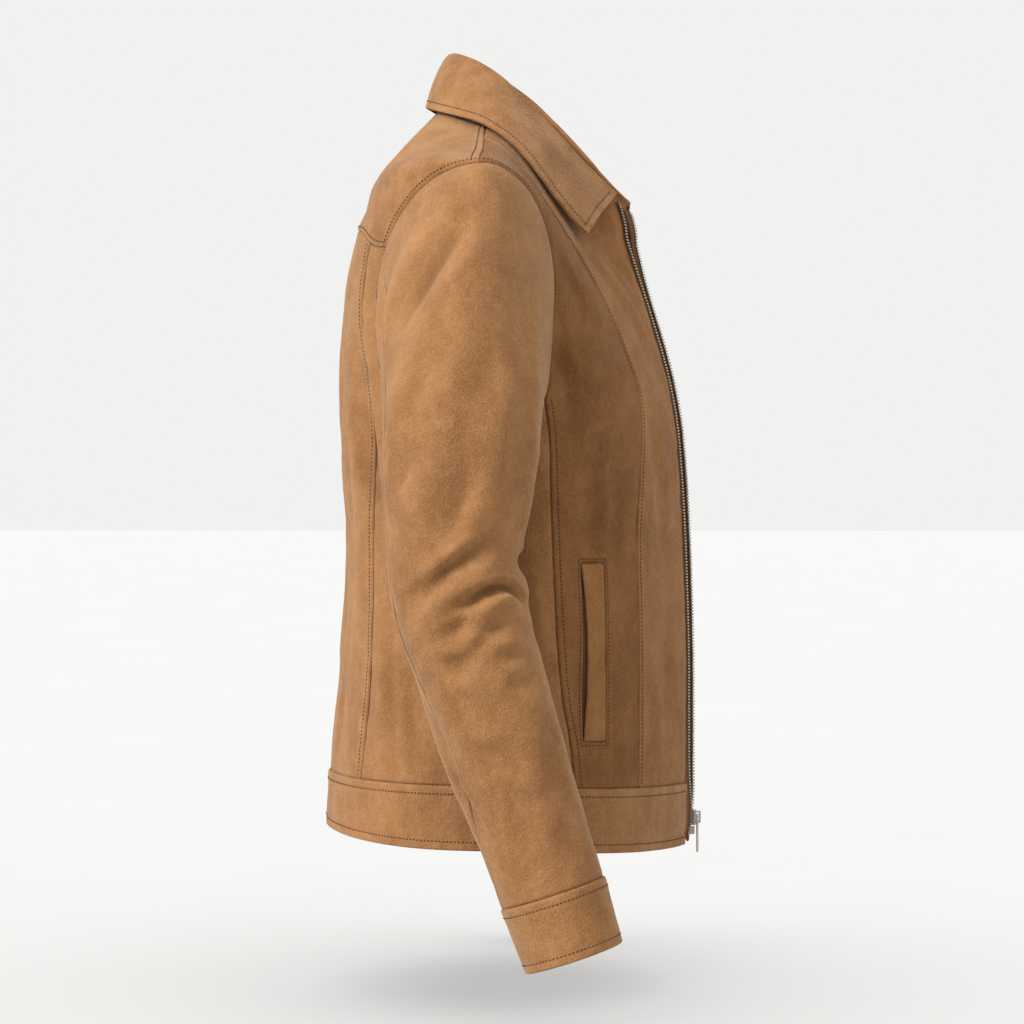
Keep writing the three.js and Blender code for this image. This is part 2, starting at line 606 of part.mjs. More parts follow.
// Ring after ring of points and normals on a sleeve
function sleeveGrids(arm, turns, stations, around) {
  const surface = sleevePoint(arm);
  const normals = stations.map((s) => turns.map((turn) => {
    const at = Math.min(Math.max(s, -CAP_LENGTH + 1), CUFF_END - 1);
    return outward(surface, turn, at, 0.5, 0.8);
  }));
  const points = stations.map((s, i) => turns.map((turn, j) => {
    const relief = s < CUFF_TOP ? arm.folds * sleeveRelief(turn, s) : 0;
    return surface(turn, s).addScaledVector(normals[i][j], relief * soft((s + CAP_LENGTH) / CAP_SMOOTH));
  }));
  return { points: drawnIn(points, around), normals };
}

function addSleeve(side, arm, place) {
  const stations = [...CAP_STATIONS, ...SLEEVE_STATIONS];
  const front = CELLS.armhole_front;
  const back = CELLS.armhole_front + CELLS.armhole_under;
  const overTurns = [...ringTurns.slice(back), ...ringTurns.slice(0, front + 1)];
  const top = bodyPanel(sleeveGrids(arm, overTurns, stations, false), SUEDE);
  add(`sleeve_top_${side}`, place(top), SUEDE_FINISH);
  const underTurns = ringTurns.slice(front, back + 1);
  const under = bodyPanel(sleeveGrids(arm, underTurns, stations, false), SUEDE);
  add(`sleeve_under_${side}`, place(under), SUEDE_FINISH);
  const cuffGrids = sleeveGrids(arm, ringTurns, CUFF_STATIONS, true);
  const cuff = bodyPanel(cuffGrids, BAND_WALL, BAND_LIFT, { around: true });
  add(`cuff_${side}`, place(cuff), SUEDE_FINISH);
}
addSleeve("right", ARM_RIGHT, (geometry) => geometry);
addSleeve("left", ARM_LEFT, flipped);

// Collar: up the stand from the neck, over the roll and down the fall to the outer edge
function collarPoint(station, share) {
  const k = Math.abs(station);
  const neck = bodyPoint(collarLine.angle(k), NECK);
  const roll = vector(collarLine.roll_x(k), collarLine.roll_y(k), collarLine.roll_z(k));
  const edge = vector(collarLine.edge_x(k), collarLine.edge_y(k), collarLine.edge_z(k));
  const stand = roll.clone().sub(neck);
  const height = clamp01(stand.length() / ROLL.full_stand);
  stand.normalize();
  const out = edge.clone().sub(roll).setZ(0).normalize();
  const seat = neck.clone().addScaledVector(stand, 2 * SEAM_GAP);
  const inside = roll.clone().addScaledVector(stand, -ROLL.drop * height);
  inside.addScaledVector(out, -ROLL.reach * height);
  const outside = roll.clone().addScaledVector(out, ROLL.out).add(vector(0, 0, -ROLL.fall));
  const half = seat.clone().lerp(inside, 0.5);
  const middle = outside.clone().lerp(edge, 0.5).addScaledVector(out, ROLL.bulge);
  middle.z += ROLL.bulge / 2;
  const path = new THREE.CatmullRomCurve3([seat, half, inside, roll, outside, middle, edge]);
  const point = path.getPoint(share);
  if (station < 0) point.x = -point.x;
  return point;
}

// Steps along the section and along the collar from which its outward direction is measured
const SECTION_STEP = 0.003;
const STATION_STEP = 0.01;
const collarStations = steps(2 * COLLAR_CELLS).map((i) =>
  lerp(-COLLAR_END, COLLAR_END, i / (2 * COLLAR_CELLS)));
const collarPoints = collarStations.map((k) => COLLAR_SECTION.map((r) => collarPoint(k, r)));
const collarNormals = collarStations.map((k) => COLLAR_SECTION.map((r) => {
  const at = THREE.MathUtils.clamp(r, SECTION_STEP, 1 - SECTION_STEP);
  const lastStation = COLLAR_END - STATION_STEP;
  const beside = THREE.MathUtils.clamp(k, -lastStation, lastStation);
  return outward((b, a) => collarPoint(a, b), at, beside, SECTION_STEP, STATION_STEP).negate();
}));
add("collar", wall(collarPoints, offset(collarPoints, collarNormals, -COLLAR_WALL)), SUEDE_FINISH);

// Under collar: the second layer, seen along the edge of the fall
const fallStart = COLLAR_SECTION.indexOf(UNDER_COLLAR_START);
const fall = (grid) => grid.map((section) => section.slice(fallStart));
const underCollar = (depth) =>
  offset(fall(collarPoints), fall(collarNormals), -COLLAR_WALL - SEAM_GAP - depth);
add("under_collar", wall(underCollar(0), underCollar(UNDER_COLLAR_WALL)), SUEDE_DARK);

// A loft through sections of one outline, with flat ends
function loft(sections, outline) {
  const count = outline.length;
  const faces = [];
  for (let i = 0; i < sections.length - 1; i++) {
    for (let j = 0; j < count; j++) {
      const [a, b] = [i * count + j, i * count + ((j + 1) % count)];
      faces.push([a, b, b + count], [a, b + count, a + count]);
    }
  }
  const last = (sections.length - 1) * count;
  for (const [a, b, c] of THREE.ShapeUtils.triangulateShape(outline, [])) {
    faces.push([a, c, b], [last + a, last + b, last + c]);
  }
  return closedBody(sections.flat(), faces);
}

// Outline of the zip tape: x towards the other front from the suede's edge, y out of the cloth
function tapeOutline(reach) {
  const half = TAPE.chain / 2;
  const [near, far] = [reach - half, reach + half];
  const [low, high] = [TAPE.chain_rise - half, TAPE.chain_rise + half];
  return [
    [-TAPE.under, -TAPE.back], [TAPE.clear + TAPE.slope, -TAPE.back], [near, TAPE.chain_rise - TAPE.mount],
    [near, low], [far, low], [far, high], [near, high], [near, TAPE.chain_rise],
    [TAPE.clear, -TAPE.front], [-TAPE.under, -TAPE.front],
  ].map(([x, y]) => new THREE.Vector2(x, y));
}

// Sections of the tape follow the rows of the front panel and of the waistband
const tapeRow = ({ points, normals }, height, i) =>
  ({ row: points[i], normal: normals[i][0], height });
const tapeRows = [
  ...frontEdge.slice(0, -1).map(([, height], i) => tapeRow(frontCentre, height, i)),
  ...BAND_LEVELS.slice(1, -1).map((height, i) => tapeRow(band, height, i + 1)),
];
const tapeSections = tapeRows.map(({ row, normal, height }) => {
  const inward = row[0].clone().sub(row[1]).normalize();
  const out = normal.clone().addScaledVector(inward, -normal.dot(inward)).normalize();
  const across = Math.max(STEEPEST_FRONT, Math.abs(inward.x));
  const reach = (frontGap.suede(height) - frontGap.chain(height)) / across;
  return tapeOutline(reach).map((p) =>
    row[0].clone().addScaledVector(inward, p.x).addScaledVector(out, p.y));
});
addPair("zip_tape", loft(tapeSections, tapeOutline(TAPE_REACH)), TAPE_FINISH);

// Where the two chains meet the slider
const chainEnd = tapeSections.slice(-2).flatMap((section) => [section[4].y, section[5].y]);
const chainY = chainEnd.reduce((sum, y) => sum + y, 0) / chainEnd.length;

function solidOf(geometry) {
  const position = geometry.toNonIndexed().getAttribute("position");
  const keys = new Map();
  const vertices = [];
  const triVerts = steps(position.count - 1).map((i) => {
    const p = [position.getX(i), position.getY(i), position.getZ(i)].map((v) => Number(v.toFixed(4)));
    const key = p.join();
    if (!keys.has(key)) {
      keys.set(key, keys.size);
      vertices.push(...p);
    }
    return keys.get(key);
  });
  return new wasm.Manifold(new wasm.Mesh({
    numProp: 3, vertProperties: new Float32Array(vertices), triVerts: new Uint32Array(triVerts),
  }));
}

function geometryOf(solid) {
  const mesh = solid.getMesh();
  const geometry = new THREE.BufferGeometry();
  const position = new THREE.Float32BufferAttribute(Array.from(mesh.vertProperties), 3);
  geometry.setAttribute("position", position);
  geometry.setIndex(Array.from(mesh.triVerts));
  geometry.computeVertexNormals();
  return geometry;
}

// A block between two values of x, y and z
const block = ([x0, x1], [y0, y1], [z0, z1]) =>
  new THREE.BoxGeometry(x1 - x0, y1 - y0, z1 - z0)
    .translate((x0 + x1) / 2, (y0 + y1) / 2, (z0 + z1) / 2);

// Slider: two plates joined by a web between the chains, with a bridge on its front for the pull
const plateFront = chainY - SLIDER.slot / 2 - SLIDER.plate;
const plateBack = chainY + SLIDER.slot / 2 + SLIDER.plate;
const bridgeFront = plateFront - BRIDGE.out;
const plates = [-SLIDER.x, SLIDER.x];
const bridge = [-BRIDGE.half, BRIDGE.half];
const sliderHeight = [SLIDER.bottom, SLIDER.top];
const post = [bridgeFront, plateFront + SLIDER.weld];
const sliderBlocks = [
  block(plates, [plateFront, plateFront + SLIDER.plate], sliderHeight),
  block(plates, [plateBack - SLIDER.plate, plateBack], sliderHeight),
  block([-SLIDER.web, SLIDER.web], [post[1], plateBack - SLIDER.weld], sliderHeight),
  block(bridge, post, [BRIDGE.top - BRIDGE.bar, BRIDGE.top]),
  block(bridge, post, [BRIDGE.bottom, BRIDGE.bottom + BRIDGE.bar]),
  block(bridge, [bridgeFront, bridgeFront + BRIDGE.bar], [BRIDGE.bottom, BRIDGE.top]),
];
const slider = sliderBlocks.map(solidOf).reduce((all, solid) => all.add(solid));
add("zip_slider", geometryOf(slider), METAL_FINISH);

// Pull: a flat tab that hangs from the bridge by its eye
const pullY = plateFront - (BRIDGE.out - BRIDGE.bar) / 2;
const pullTop = PULL.axis_z + PULL.wall / 2;
const pullFoot = PULL.axis_z - PULL.length;
const tab = new THREE.Shape();
tab.moveTo(-PULL.half, pullTop);
tab.lineTo(PULL.half, pullTop);
tab.lineTo(PULL.half, pullFoot + PULL.corner);
tab.quadraticCurveTo(PULL.half, pullFoot, PULL.half - PULL.corner, pullFoot);
tab.lineTo(PULL.corner - PULL.half, pullFoot);
tab.quadraticCurveTo(-PULL.half, pullFoot, -PULL.half, pullFoot + PULL.corner);
const eye = new THREE.Path();
eye.moveTo(-PULL.eye_half, PULL.axis_z - PULL.wall / 2);
eye.lineTo(-PULL.eye_half, PULL.axis_z - PULL.eye);
eye.lineTo(PULL.eye_half, PULL.axis_z - PULL.eye);
eye.lineTo(PULL.eye_half, PULL.axis_z - PULL.wall / 2);
tab.holes.push(eye);
const flat = { depth: PULL.wall, bevelEnabled: false, curveSegments: 4 };
const pull = new THREE.ExtrudeGeometry(tab, flat);
pull.rotateX(Math.PI / 2).translate(0, pullY + PULL.wall / 2, 0);
add("zip_pull", pull, METAL_FINISH);

// Box at the foot of the left chain and pin at the foot of the right one
const chainDepth = (half) => [chainY - half, chainY + half];
const box = block([BOX.inner, BOX.outer], chainDepth(BOX.half_y), [BOX.bottom, BOX.top]);
add("zip_box", box, METAL_FINISH);
const pin = block([-PIN.outer, -PIN.inner], chainDepth(PIN.half_y), [PIN.bottom, PIN.top]);
add("zip_pin", pin, METAL_FINISH);

export default jacket;
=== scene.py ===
"""A tan suede zip jacket, hollow as if worn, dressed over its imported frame."""
import itertools
import json
import logging
import math
from collections.abc import Callable, Sequence
from dataclasses import dataclass, field
from enum import Enum

import bmesh
import bpy
import numpy as np
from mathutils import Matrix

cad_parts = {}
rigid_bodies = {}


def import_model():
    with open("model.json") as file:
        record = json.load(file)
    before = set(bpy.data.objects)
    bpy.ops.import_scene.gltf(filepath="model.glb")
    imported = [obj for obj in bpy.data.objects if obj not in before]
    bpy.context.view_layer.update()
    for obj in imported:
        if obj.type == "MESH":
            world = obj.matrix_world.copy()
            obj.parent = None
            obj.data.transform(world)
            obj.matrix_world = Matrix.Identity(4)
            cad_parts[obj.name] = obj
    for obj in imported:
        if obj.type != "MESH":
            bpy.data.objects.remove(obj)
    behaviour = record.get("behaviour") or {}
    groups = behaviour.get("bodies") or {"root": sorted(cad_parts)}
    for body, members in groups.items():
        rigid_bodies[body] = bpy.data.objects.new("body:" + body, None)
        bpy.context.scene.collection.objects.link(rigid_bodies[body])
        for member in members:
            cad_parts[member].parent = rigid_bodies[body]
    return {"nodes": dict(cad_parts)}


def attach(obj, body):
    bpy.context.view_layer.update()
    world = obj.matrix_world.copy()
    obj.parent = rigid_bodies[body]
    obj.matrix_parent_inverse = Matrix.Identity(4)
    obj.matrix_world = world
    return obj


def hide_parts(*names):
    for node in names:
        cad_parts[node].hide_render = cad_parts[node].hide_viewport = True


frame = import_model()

Array = np.ndarray
Place = tuple[float, float]
EdgeFunction = Callable[[Array], Array]
Surface = Callable[[Array, Array], Array]
Socket = bpy.types.NodeSocket
Material = bpy.types.Material
Piece = bpy.types.Object
Line = tuple[Array, Array]

LOG = logging.getLogger("jacket")
MM = 0.001
JACKET = "jacket"
PULL = "pull"
BROAD_LUMP, BROAD_RISE = 34, 0.5
FINE_LUMP, FINE_RISE = 13, 0.22
GATHER_LUMP = 9.0
ANCHOR_REACH = 3.0
DEEPEST_GROOVE = 1.3
FAR = 1e3
SHARE_SLACK = 1e-9


# Numbers and curves


def soft(x: Array) -> Array:
    """Eases from 0 to 1 as x goes from 0 to 1."""
    x = np.clip(x, 0, 1)
    return x * x * (3 - 2 * x)


def bell(x: Array) -> Array:
    """A bump of height 1 that is one wide on each side."""
    return np.exp(-x * x)


def unit(vectors: Array) -> Array:
    """Vectors turned to length 1."""
    return vectors / np.maximum(np.linalg.norm(vectors, axis=-1, keepdims=True), 1e-12)


def lumps(points: Array, size: float, seed: int) -> Array:
    """Smooth repeatable noise between -1 and 1.

    Args:
        points: Places in space.
        size: Distance from one lump to the next.
        seed: Picks one pattern.

    Returns:
        One value for each point.
    """
    at = points / size
    cell = np.floor(at).astype(np.int64)
    part = soft(at - cell)
    total = np.zeros(points.shape[:-1])
    for corner in itertools.product((0, 1), repeat=3):
        key = (cell + corner) @ np.array([73856093, 19349663, 83492791]) + seed * 7919
        key = (key ^ (key >> 13)) & 0x7FFFFFFF
        key = (key * 1103515245 + 12345) & 0x7FFFFFFF
        value = (key >> 8) % 4096 / 2047.5 - 1
        weight = np.prod(np.where(corner, part, 1 - part), axis=-1)
        total += weight * value
    return total


def unevenness(points: Array, seed: int) -> Array:
    """The hide's own small rise and fall, in millimetres."""
    broad = lumps(points, BROAD_LUMP, seed) * BROAD_RISE
    return broad + lumps(points, FINE_LUMP, seed + 1) * FINE_RISE


class SmoothTable:
    """Columns of a table as smooth functions of the first one, without overshoot."""

    def __init__(self, names: str, rows: Sequence[Sequence[float]]) -> None:
        """Prepares the columns."""
        data = np.array(rows, dtype=float)
        self._keys = data[:, 0]
        self._columns = {
            name: (data[:, i + 1], self._slopes(data[:, i + 1]))
            for i, name in enumerate(names.split()[1:])
        }

    def _slopes(self, values: Array) -> Array:
        """Slopes at the keys by Fritsch and Carlson's rule.

        Args:
            values: One column.

        Returns:
            A slope for each key.
        """
        spans = np.diff(self._keys)
        rates = np.diff(values) / spans
        slopes = np.concatenate([rates[:1], np.zeros(len(rates) - 1), rates[-1:]])
        for i in range(1, len(rates)):
            if rates[i - 1] * rates[i] > 0:
                near, far = 2 * spans[i] + spans[i - 1], spans[i] + 2 * spans[i - 1]
                slopes[i] = (near + far) / (near / rates[i - 1] + far / rates[i])
        return slopes

    def __call__(self, name: str, key: Array) -> Array:
        """Values of one column at the given keys.

        Args:
            name: Name of the column.
            key: Values of the first column.

        Returns:
            The column's values there.
        """
        values, slopes = self._columns[name]
        key = np.clip(np.asarray(key, dtype=float), self._keys[0], self._keys[-1])
        i = np.clip(np.searchsorted(self._keys, key, side="right") - 1, 0, len(self._keys) - 2)
        span = self._keys[i + 1] - self._keys[i]
        s = (key - self._keys[i]) / span
        start = (1 + 2 * s) * (1 - s) ** 2 * values[i] + s * (1 - s) ** 2 * span * slopes[i]
        end = s * s * (3 - 2 * s) * values[i + 1] + s * s * (s - 1) * span * slopes[i + 1]
        return start + end


def smooth_curve(points: Sequence[Place], closed: bool = False) -> EdgeFunction:
    """A smooth curve through places.

    Args:
        points: The places, in order.
        closed: Whether the curve returns to its first place.

    Returns:
        The place at each share of the curve.
    """
    path = np.array(points, dtype=float)
    count = len(path)
    if not closed:
        path = np.vstack([2 * path[0] - path[1], path, 2 * path[-1] - path[-2]])

    def at(share: Array) -> Array:
        """The place at each share.

        Args:
            share: Shares of the curve.

        Returns:
            Places.
        """
        along = np.asarray(share, dtype=float) * (count if closed else count - 1)
        i = np.floor(along).astype(int) if closed else np.clip(along.astype(int), 0, count - 2)
        s = (along - i)[..., None]
        if closed:
            before, start, end, after = (path[(i + k) % count] for k in (-1, 0, 1, 2))
        else:
            before, start, end, after = (path[i + k] for k in (0, 1, 2, 3))
        enter, leave = (end - before) / 2, (after - start) / 2
        cubic = 2 * start - 2 * end + enter + leave
        square = -3 * start + 3 * end - 2 * enter - leave
        return start + s * (enter + s * (square + s * cubic))

    return at


def lengths_along(points: Array) -> Array:
    """Length of a line from its start to each of its points."""
    return np.append(0, np.cumsum(np.linalg.norm(np.diff(points, axis=0), axis=1)))


def values_at(where: Array, lengths: Array, values: Array) -> Array:
    """Values of a line's points at the given lengths."""
    columns = range(values.shape[1])
    return np.stack([np.interp(where, lengths, values[:, k]) for k in columns], axis=-1)


def outward(surface: Surface, a: Array, b: Array, step_a: float, step_b: float) -> Array:
    """Outward direction of a surface that is given by two values."""
    along = surface(a + step_a, b) - surface(a - step_a, b)
    down = surface(a, b + step_b) - surface(a, b - step_b)
    return unit(np.cross(down, along))


# The jacket's form


NECK = 86.0
SHOULDER_POINT = -49.0
BAND_TOP = -516.0
HEM = -562.0


@dataclass(frozen=True)
class Body:
    """The outer surface of the jacket's body, by angle round it and level.

    The angle is 0 at the centre front, 90 at the wearer's right and 180 at the centre back.
    """

    rings: SmoothTable = SmoothTable(
        "level side_z half_width side_y front_z front_y front_power back_z back_y back_power flare",
        [
            [-562, -558, 179, -5, -568, -140, 2.15, -549.5, 136, 2.15, 9],
            [-516, -509.5, 179, -5, -518.5, -143, 2.15, -507.5, 133, 2.15, 9],
            [-430, -430, 179, -5, -432, -143, 2.15, -426, 125, 2.15, 9],
            [-345, -345, 178, -5, -346, -141, 2.15, -343, 120, 2.15, 9],
            [-250, -250, 187, -6, -248, -136, 2.2, -250, 121, 2.25, 8],
            [-150, -150, 186, -12, -160, -113, 2.3, -150, 118, 2.5, 12],
            [-49, -49, 200, -19, -109, -80, 2.25, -60, 94, 2.4, 34],
            [18, -31, 137, -10, -90, -70, 2.2, -18, 73, 2.3, 45],
            [86, -2, 72, 0, -77, -69, 2.2, 17, 46, 2.2, 50],
        ],
    )
    front_gap: SmoothTable = SmoothTable(
        "level chain suede",
        [
            [-562, 3.5, 12], [-552, 3.5, 12], [-541, 3.9, 12.6], [-529, 9, 17], [-512, 15.5, 21],
            [-480, 17, 19.6], [-345, 17, 19.2], [-130, 17.5, 19.4], [-80, 21, 22.6],
            [-20, 27, 28.4], [86, 34, 35.4],
        ],
    )
    flare_width: float = 58.0
    flare_fade: float = 4.0

    def point(self, angle: Array, level: Array) -> Array:
        """Points of the surface, in millimetres.

        Args:
            angle: Angles round the body.
            level: Levels before the surface's own rise and fall.

        Returns:
            Places in space.
        """
        angle, level = np.broadcast_arrays(np.asarray(angle, float), np.asarray(level, float))
        turn = np.radians(angle)
        front = np.cos(turn) >= 0
        ring = {
            name: np.where(
                front, self.rings(f"front_{name}", level), self.rings(f"back_{name}", level)
            )
            for name in ("power", "y", "z")
        }
        across = np.abs(np.sin(turn)) ** (2 / ring["power"])
        towards = np.abs(np.cos(turn)) ** (2 / ring["power"])
        x = self.rings("half_width", level) * across
        side_y, side_z = self.rings("side_y", level), self.rings("side_z", level)
        spring = self.rings("flare", level) * bell(x / self.flare_width) * front
        y = side_y + (ring["y"] - side_y) * towards - spring * soft(towards * self.flare_fade)
        z = side_z + (ring["z"] - side_z) * towards * towards
        return np.stack([np.where(np.sin(turn) >= 0, -x, x), y, z], axis=-1)

    def outward(self, angle: Array, level: Array) -> Array:
        """Outward directions of the surface."""
        return outward(self.point, angle, level, 0.4, 0.8)

    def front_angle(self, level: Array) -> Array:
        """Angle of the suede's front edge."""
        share = self.front_gap("suede", level) / self.rings("half_width", level)
        return np.degrees(np.arcsin(share ** (self.rings("front_power", level) / 2)))


BODY = Body()


@dataclass(frozen=True)
class ArmPose:
    """How one sleeve hangs: both leans, place and spread of the bicep line, and its folds."""

    upper: float
    fore: float
    centre: tuple[float, float, float]
    spread: float
    folds: float


ARM_RIGHT = ArmPose(-3.7, 18.5, (-245.5, -14, -262), -4, 1.0)
ARM_LEFT = ArmPose(-6.5, -1.5, (-245.5, -12, -262), -6, 0.6)


@dataclass(frozen=True)
class Sleeve:
    """The outer surface of a right sleeve, by turn round it and distance below the bicep line.

    The turn is 0 outside, 90 in front, 180 at the body and 270 behind.
    """

    pose: ArmPose
    armhole: EdgeFunction
    sizes: SmoothTable = SmoothTable(
        "along half_depth half_width",
        [
            [0, 57, 49.5], [38, 53, 47.5], [80, 48.5, 45.5], [108, 48.5, 45.5], [148, 46, 44.3],
            [200, 43, 42.3], [248, 40.5, 40.5], [300, 39, 38.5], [328, 38.6, 37.6],
            [377, 36.4, 35.6],
        ],
    )
    cap_length: float = 150.0
    elbow: float = 96.0
    elbow_reach: float = 44.0
    length: float = 377.0
    cap_out: tuple[float, float, float] = (-0.93, -0.05, -0.36)
    cap_down: tuple[float, float, float] = (0, 0.03, -1)

    def axis(self, along: Array) -> Line:
        """Middle of the sleeve and its lean in radians.

        Args:
            along: Distances below the bicep line.

        Returns:
            Places in space, and leans.
        """
        pose, cells = self.pose, 40
        along = np.asarray(along, dtype=float)

        def lean(s: Array) -> Array:
            """The sleeve's lean at a distance."""
            bent = soft((s - self.elbow + self.elbow_reach) / (2 * self.elbow_reach))
            return np.radians(pose.upper + (pose.fore - pose.upper) * bent)

        x = pose.centre[0] + pose.spread * along / self.length
        y = np.full(along.shape, float(pose.centre[1]))
        z = np.full(along.shape, float(pose.centre[2]))
        for i in range(cells):
            middle = lean(along * (i + 0.5) / cells)
            y -= np.sin(middle) * along / cells
            z -= np.cos(middle) * along / cells
        return np.stack([x, y, z], axis=-1), lean(along)

    def tube(self, turn: Array, along: Array) -> Array:
        """Points below the bicep line."""
        centre, lean = self.axis(along)
        forward = np.sin(np.radians(turn)) * self.sizes("half_depth", along)
        out = np.cos(np.radians(turn)) * self.sizes("half_width", along)
        return centre + np.stack([-out, -forward * np.cos(lean), forward * np.sin(lean)], axis=-1)

    def cap(self, turn: Array, r: Array) -> Array:
        """Points between the armhole and the bicep line.

        Args:
            turn: Turns round the sleeve.
            r: Shares from the armhole, 0, to the bicep line, 1.

        Returns:
            Places in space.
        """
        high = ((1 + np.cos(np.radians(turn))) / 2)[..., None]
        r = r[..., None]
        out = unit(np.array(self.cap_out)) * (18 + 72 * high ** 1.2)
        down = np.array(self.cap_down) * (14 + 175 * high ** 1.3)
        hole = self.armhole(np.mod(turn, 360))
        start = hole * (1 + 2 * r) * (1 - r) ** 2 + out * r * (1 - r) ** 2
        end = self.tube(turn, np.zeros_like(turn)) * r * r * (3 - 2 * r) + down * r * r * (r - 1)
        return start + end

    def point(self, turn: Array, along: Array) -> Array:
        """Points of the surface, in millimetres."""
        turn, along = np.broadcast_arrays(np.asarray(turn, float), np.asarray(along, float))
        r = np.clip((along + self.cap_length) / self.cap_length, -1, 1)
        low = (along >= 0)[..., None]
        return np.where(low, self.tube(turn, np.maximum(along, 0)), self.cap(turn, r))

    def outward(self, turn: Array, along: Array) -> Array:
        """Outward directions of the surface."""
        along = np.clip(along, 1 - self.cap_length, self.length - 1)
        return outward(self.point, turn, along, 0.5, 0.8)


@dataclass(frozen=True)
class CollarForm:
    """The collar's outer surface, by station from the centre back and share of its section."""

    lines: SmoothTable = SmoothTable(
        "station angle roll_x roll_y roll_z edge_x edge_y edge_z",
        [
            [0, 180, 0, 42, 61, 0, 62, 18],
            [1, 152, -25, 33, 58, -42, 53, 13],
            [2, 125, -45, 14, 50, -72, 28, 4],
            [3, 98, -57, -8, 36, -97, 1, -5],
            [4, 76, -60, -30, 16, -111, -23, -19],
            [5, 60, -58, -52, -7, -115.5, -43, -38],
            [6, 46, -51, -72, -30, -111, -63, -66],
            [7, 36.5, -44, -88, -46, -106, -77, -84],
            [8, 29.5, -38, -99, -56, -102, -86, -93],
        ],
    )
    last: float = 8.0
    reach: float = 4.5
    drop: float = 5.0
    out: float = 4.0
    fall: float = 3.0
    full_stand: float = 20.0
    bulge: float = 2.0

    def _controls(self, station: Array) -> Array:
        """The seven points that each section passes through.

        Args:
            station: Stations, below 0 on the wearer's right.

        Returns:
            Seven places for each station.
        """
        k = np.abs(station)
        neck = BODY.point(self.lines("angle", k), NECK)
        roll = np.stack([self.lines(f"roll_{axis}", k) for axis in "xyz"], axis=-1)
        edge = np.stack([self.lines(f"edge_{axis}", k) for axis in "xyz"], axis=-1)
        stand = roll - neck
        height = np.clip(np.linalg.norm(stand, axis=-1, keepdims=True) / self.full_stand, 0, 1)
        stand = unit(stand)
        out = unit((edge - roll) * [1, 1, 0])
        inside = roll - stand * self.drop * height - out * self.reach * height
        outside = roll + out * self.out - [0, 0, self.fall]
        middle = (outside + edge) / 2 + out * self.bulge + [0, 0, self.bulge / 2]
        controls = np.stack(
            [neck, (neck + inside) / 2, inside, roll, outside, middle, edge], axis=-2
        )
        controls[..., 0] *= np.where(np.asarray(station) < 0, -1, 1)[..., None]
        return controls

    def point(self, share: Array, station: Array) -> Array:
        """Points of the surface, in millimetres, on a centripetal curve through the controls.

        Args:
            share: Shares of the section, from the neck seam to the edge.
            station: Stations, from one end of the collar to the other.

        Returns:
            Places in space.
        """
        share, station = np.broadcast_arrays(np.asarray(share, float), np.asarray(station, float))
        path = self._controls(station)
        first = 2 * path[..., :1, :] - path[..., 1:2, :]
        last = 2 * path[..., -1:, :] - path[..., -2:-1, :]
        path = np.concatenate([first, path, last], axis=-2)
        along = share * 6
        i = np.clip(along.astype(int), 0, 5)
        s = (along - i)[..., None]
        p = [
            np.take_along_axis(path, (i + k)[..., None, None], axis=-2)[..., 0, :] for k in range(4)
        ]
        gaps = [np.linalg.norm(p[k + 1] - p[k], axis=-1, keepdims=True) ** 0.5 for k in range(3)]
        rates = [(p[k + 1] - p[k]) / gaps[k] for k in range(3)]
        enter = rates[0] - (p[2] - p[0]) / (gaps[0] + gaps[1]) + rates[1]
        leave = rates[1] - (p[3] - p[1]) / (gaps[1] + gaps[2]) + rates[2]
        enter, leave = enter * gaps[1], leave * gaps[1]
        cubic = 2 * p[1] - 2 * p[2] + enter + leave
        square = -3 * p[1] + 3 * p[2] - 2 * enter - leave
        return p[1] + s * (enter + s * (square + s * cubic))

    def outward(self, share: Array, station: Array) -> Array:
        """Outward directions of the surface."""
        share = np.clip(share, 0.003, 0.997)
        station = np.clip(station, 0.01 - self.last, self.last - 0.01)
        return -outward(self.point, share, station, 0.003, 0.01)


# Seams between the panels


def paced(curve: EdgeFunction, samples: int = 480) -> EdgeFunction:
    """A run of seam that moves over the body at an even pace."""
    fine = curve(np.linspace(0, 1, samples + 1))
    points = BODY.point(fine[:, 0], fine[:, 1])
    length = lengths_along(points)
    return lambda share: values_at(np.asarray(share) * length[-1], length, fine)


def level_run(start: float, end: float, level: float) -> EdgeFunction:
    """A run of seam at one level, from one angle to another."""
    return paced(lambda s: np.stack([start + (end - start) * s, np.full_like(s, level)], axis=-1))


def shoulder_run(start: float, end: float) -> EdgeFunction:
    """A run of the shoulder line, from one level to another."""
    return paced(lambda s: np.stack([np.full_like(s, 90.0), start + (end - start) * s], axis=-1))


def joined(*runs: tuple[EdgeFunction, float]) -> EdgeFunction:
    """Runs of seam one after the other.

    Args:
        runs: Each run, with its weight in the whole.

    Returns:
        The whole run.
    """
    weights = np.array([weight for _, weight in runs], dtype=float)
    ends = np.append(0, np.cumsum(weights)) / weights.sum()

    def at(share: Array) -> Array:
        """The place at each share of the whole."""
        share = np.asarray(share, dtype=float)
        made = np.zeros(share.shape + (2,))
        for (run, _), start, end in zip(runs, ends[:-1], ends[1:]):
            here = (share >= start) & (share <= end + SHARE_SLACK)
            made[here] = run(np.clip((share[here] - start) / (end - start), 0, 1))
        return made

    return at


def backwards(run: EdgeFunction) -> EdgeFunction:
    """A run of seam from its end to its start."""
    return lambda share: run(1 - np.asarray(share))


def mirrored(run: EdgeFunction) -> EdgeFunction:
    """A run of seam on the wearer's other side."""
    return lambda share: run(share) * [-1, 1] + [360, 0]


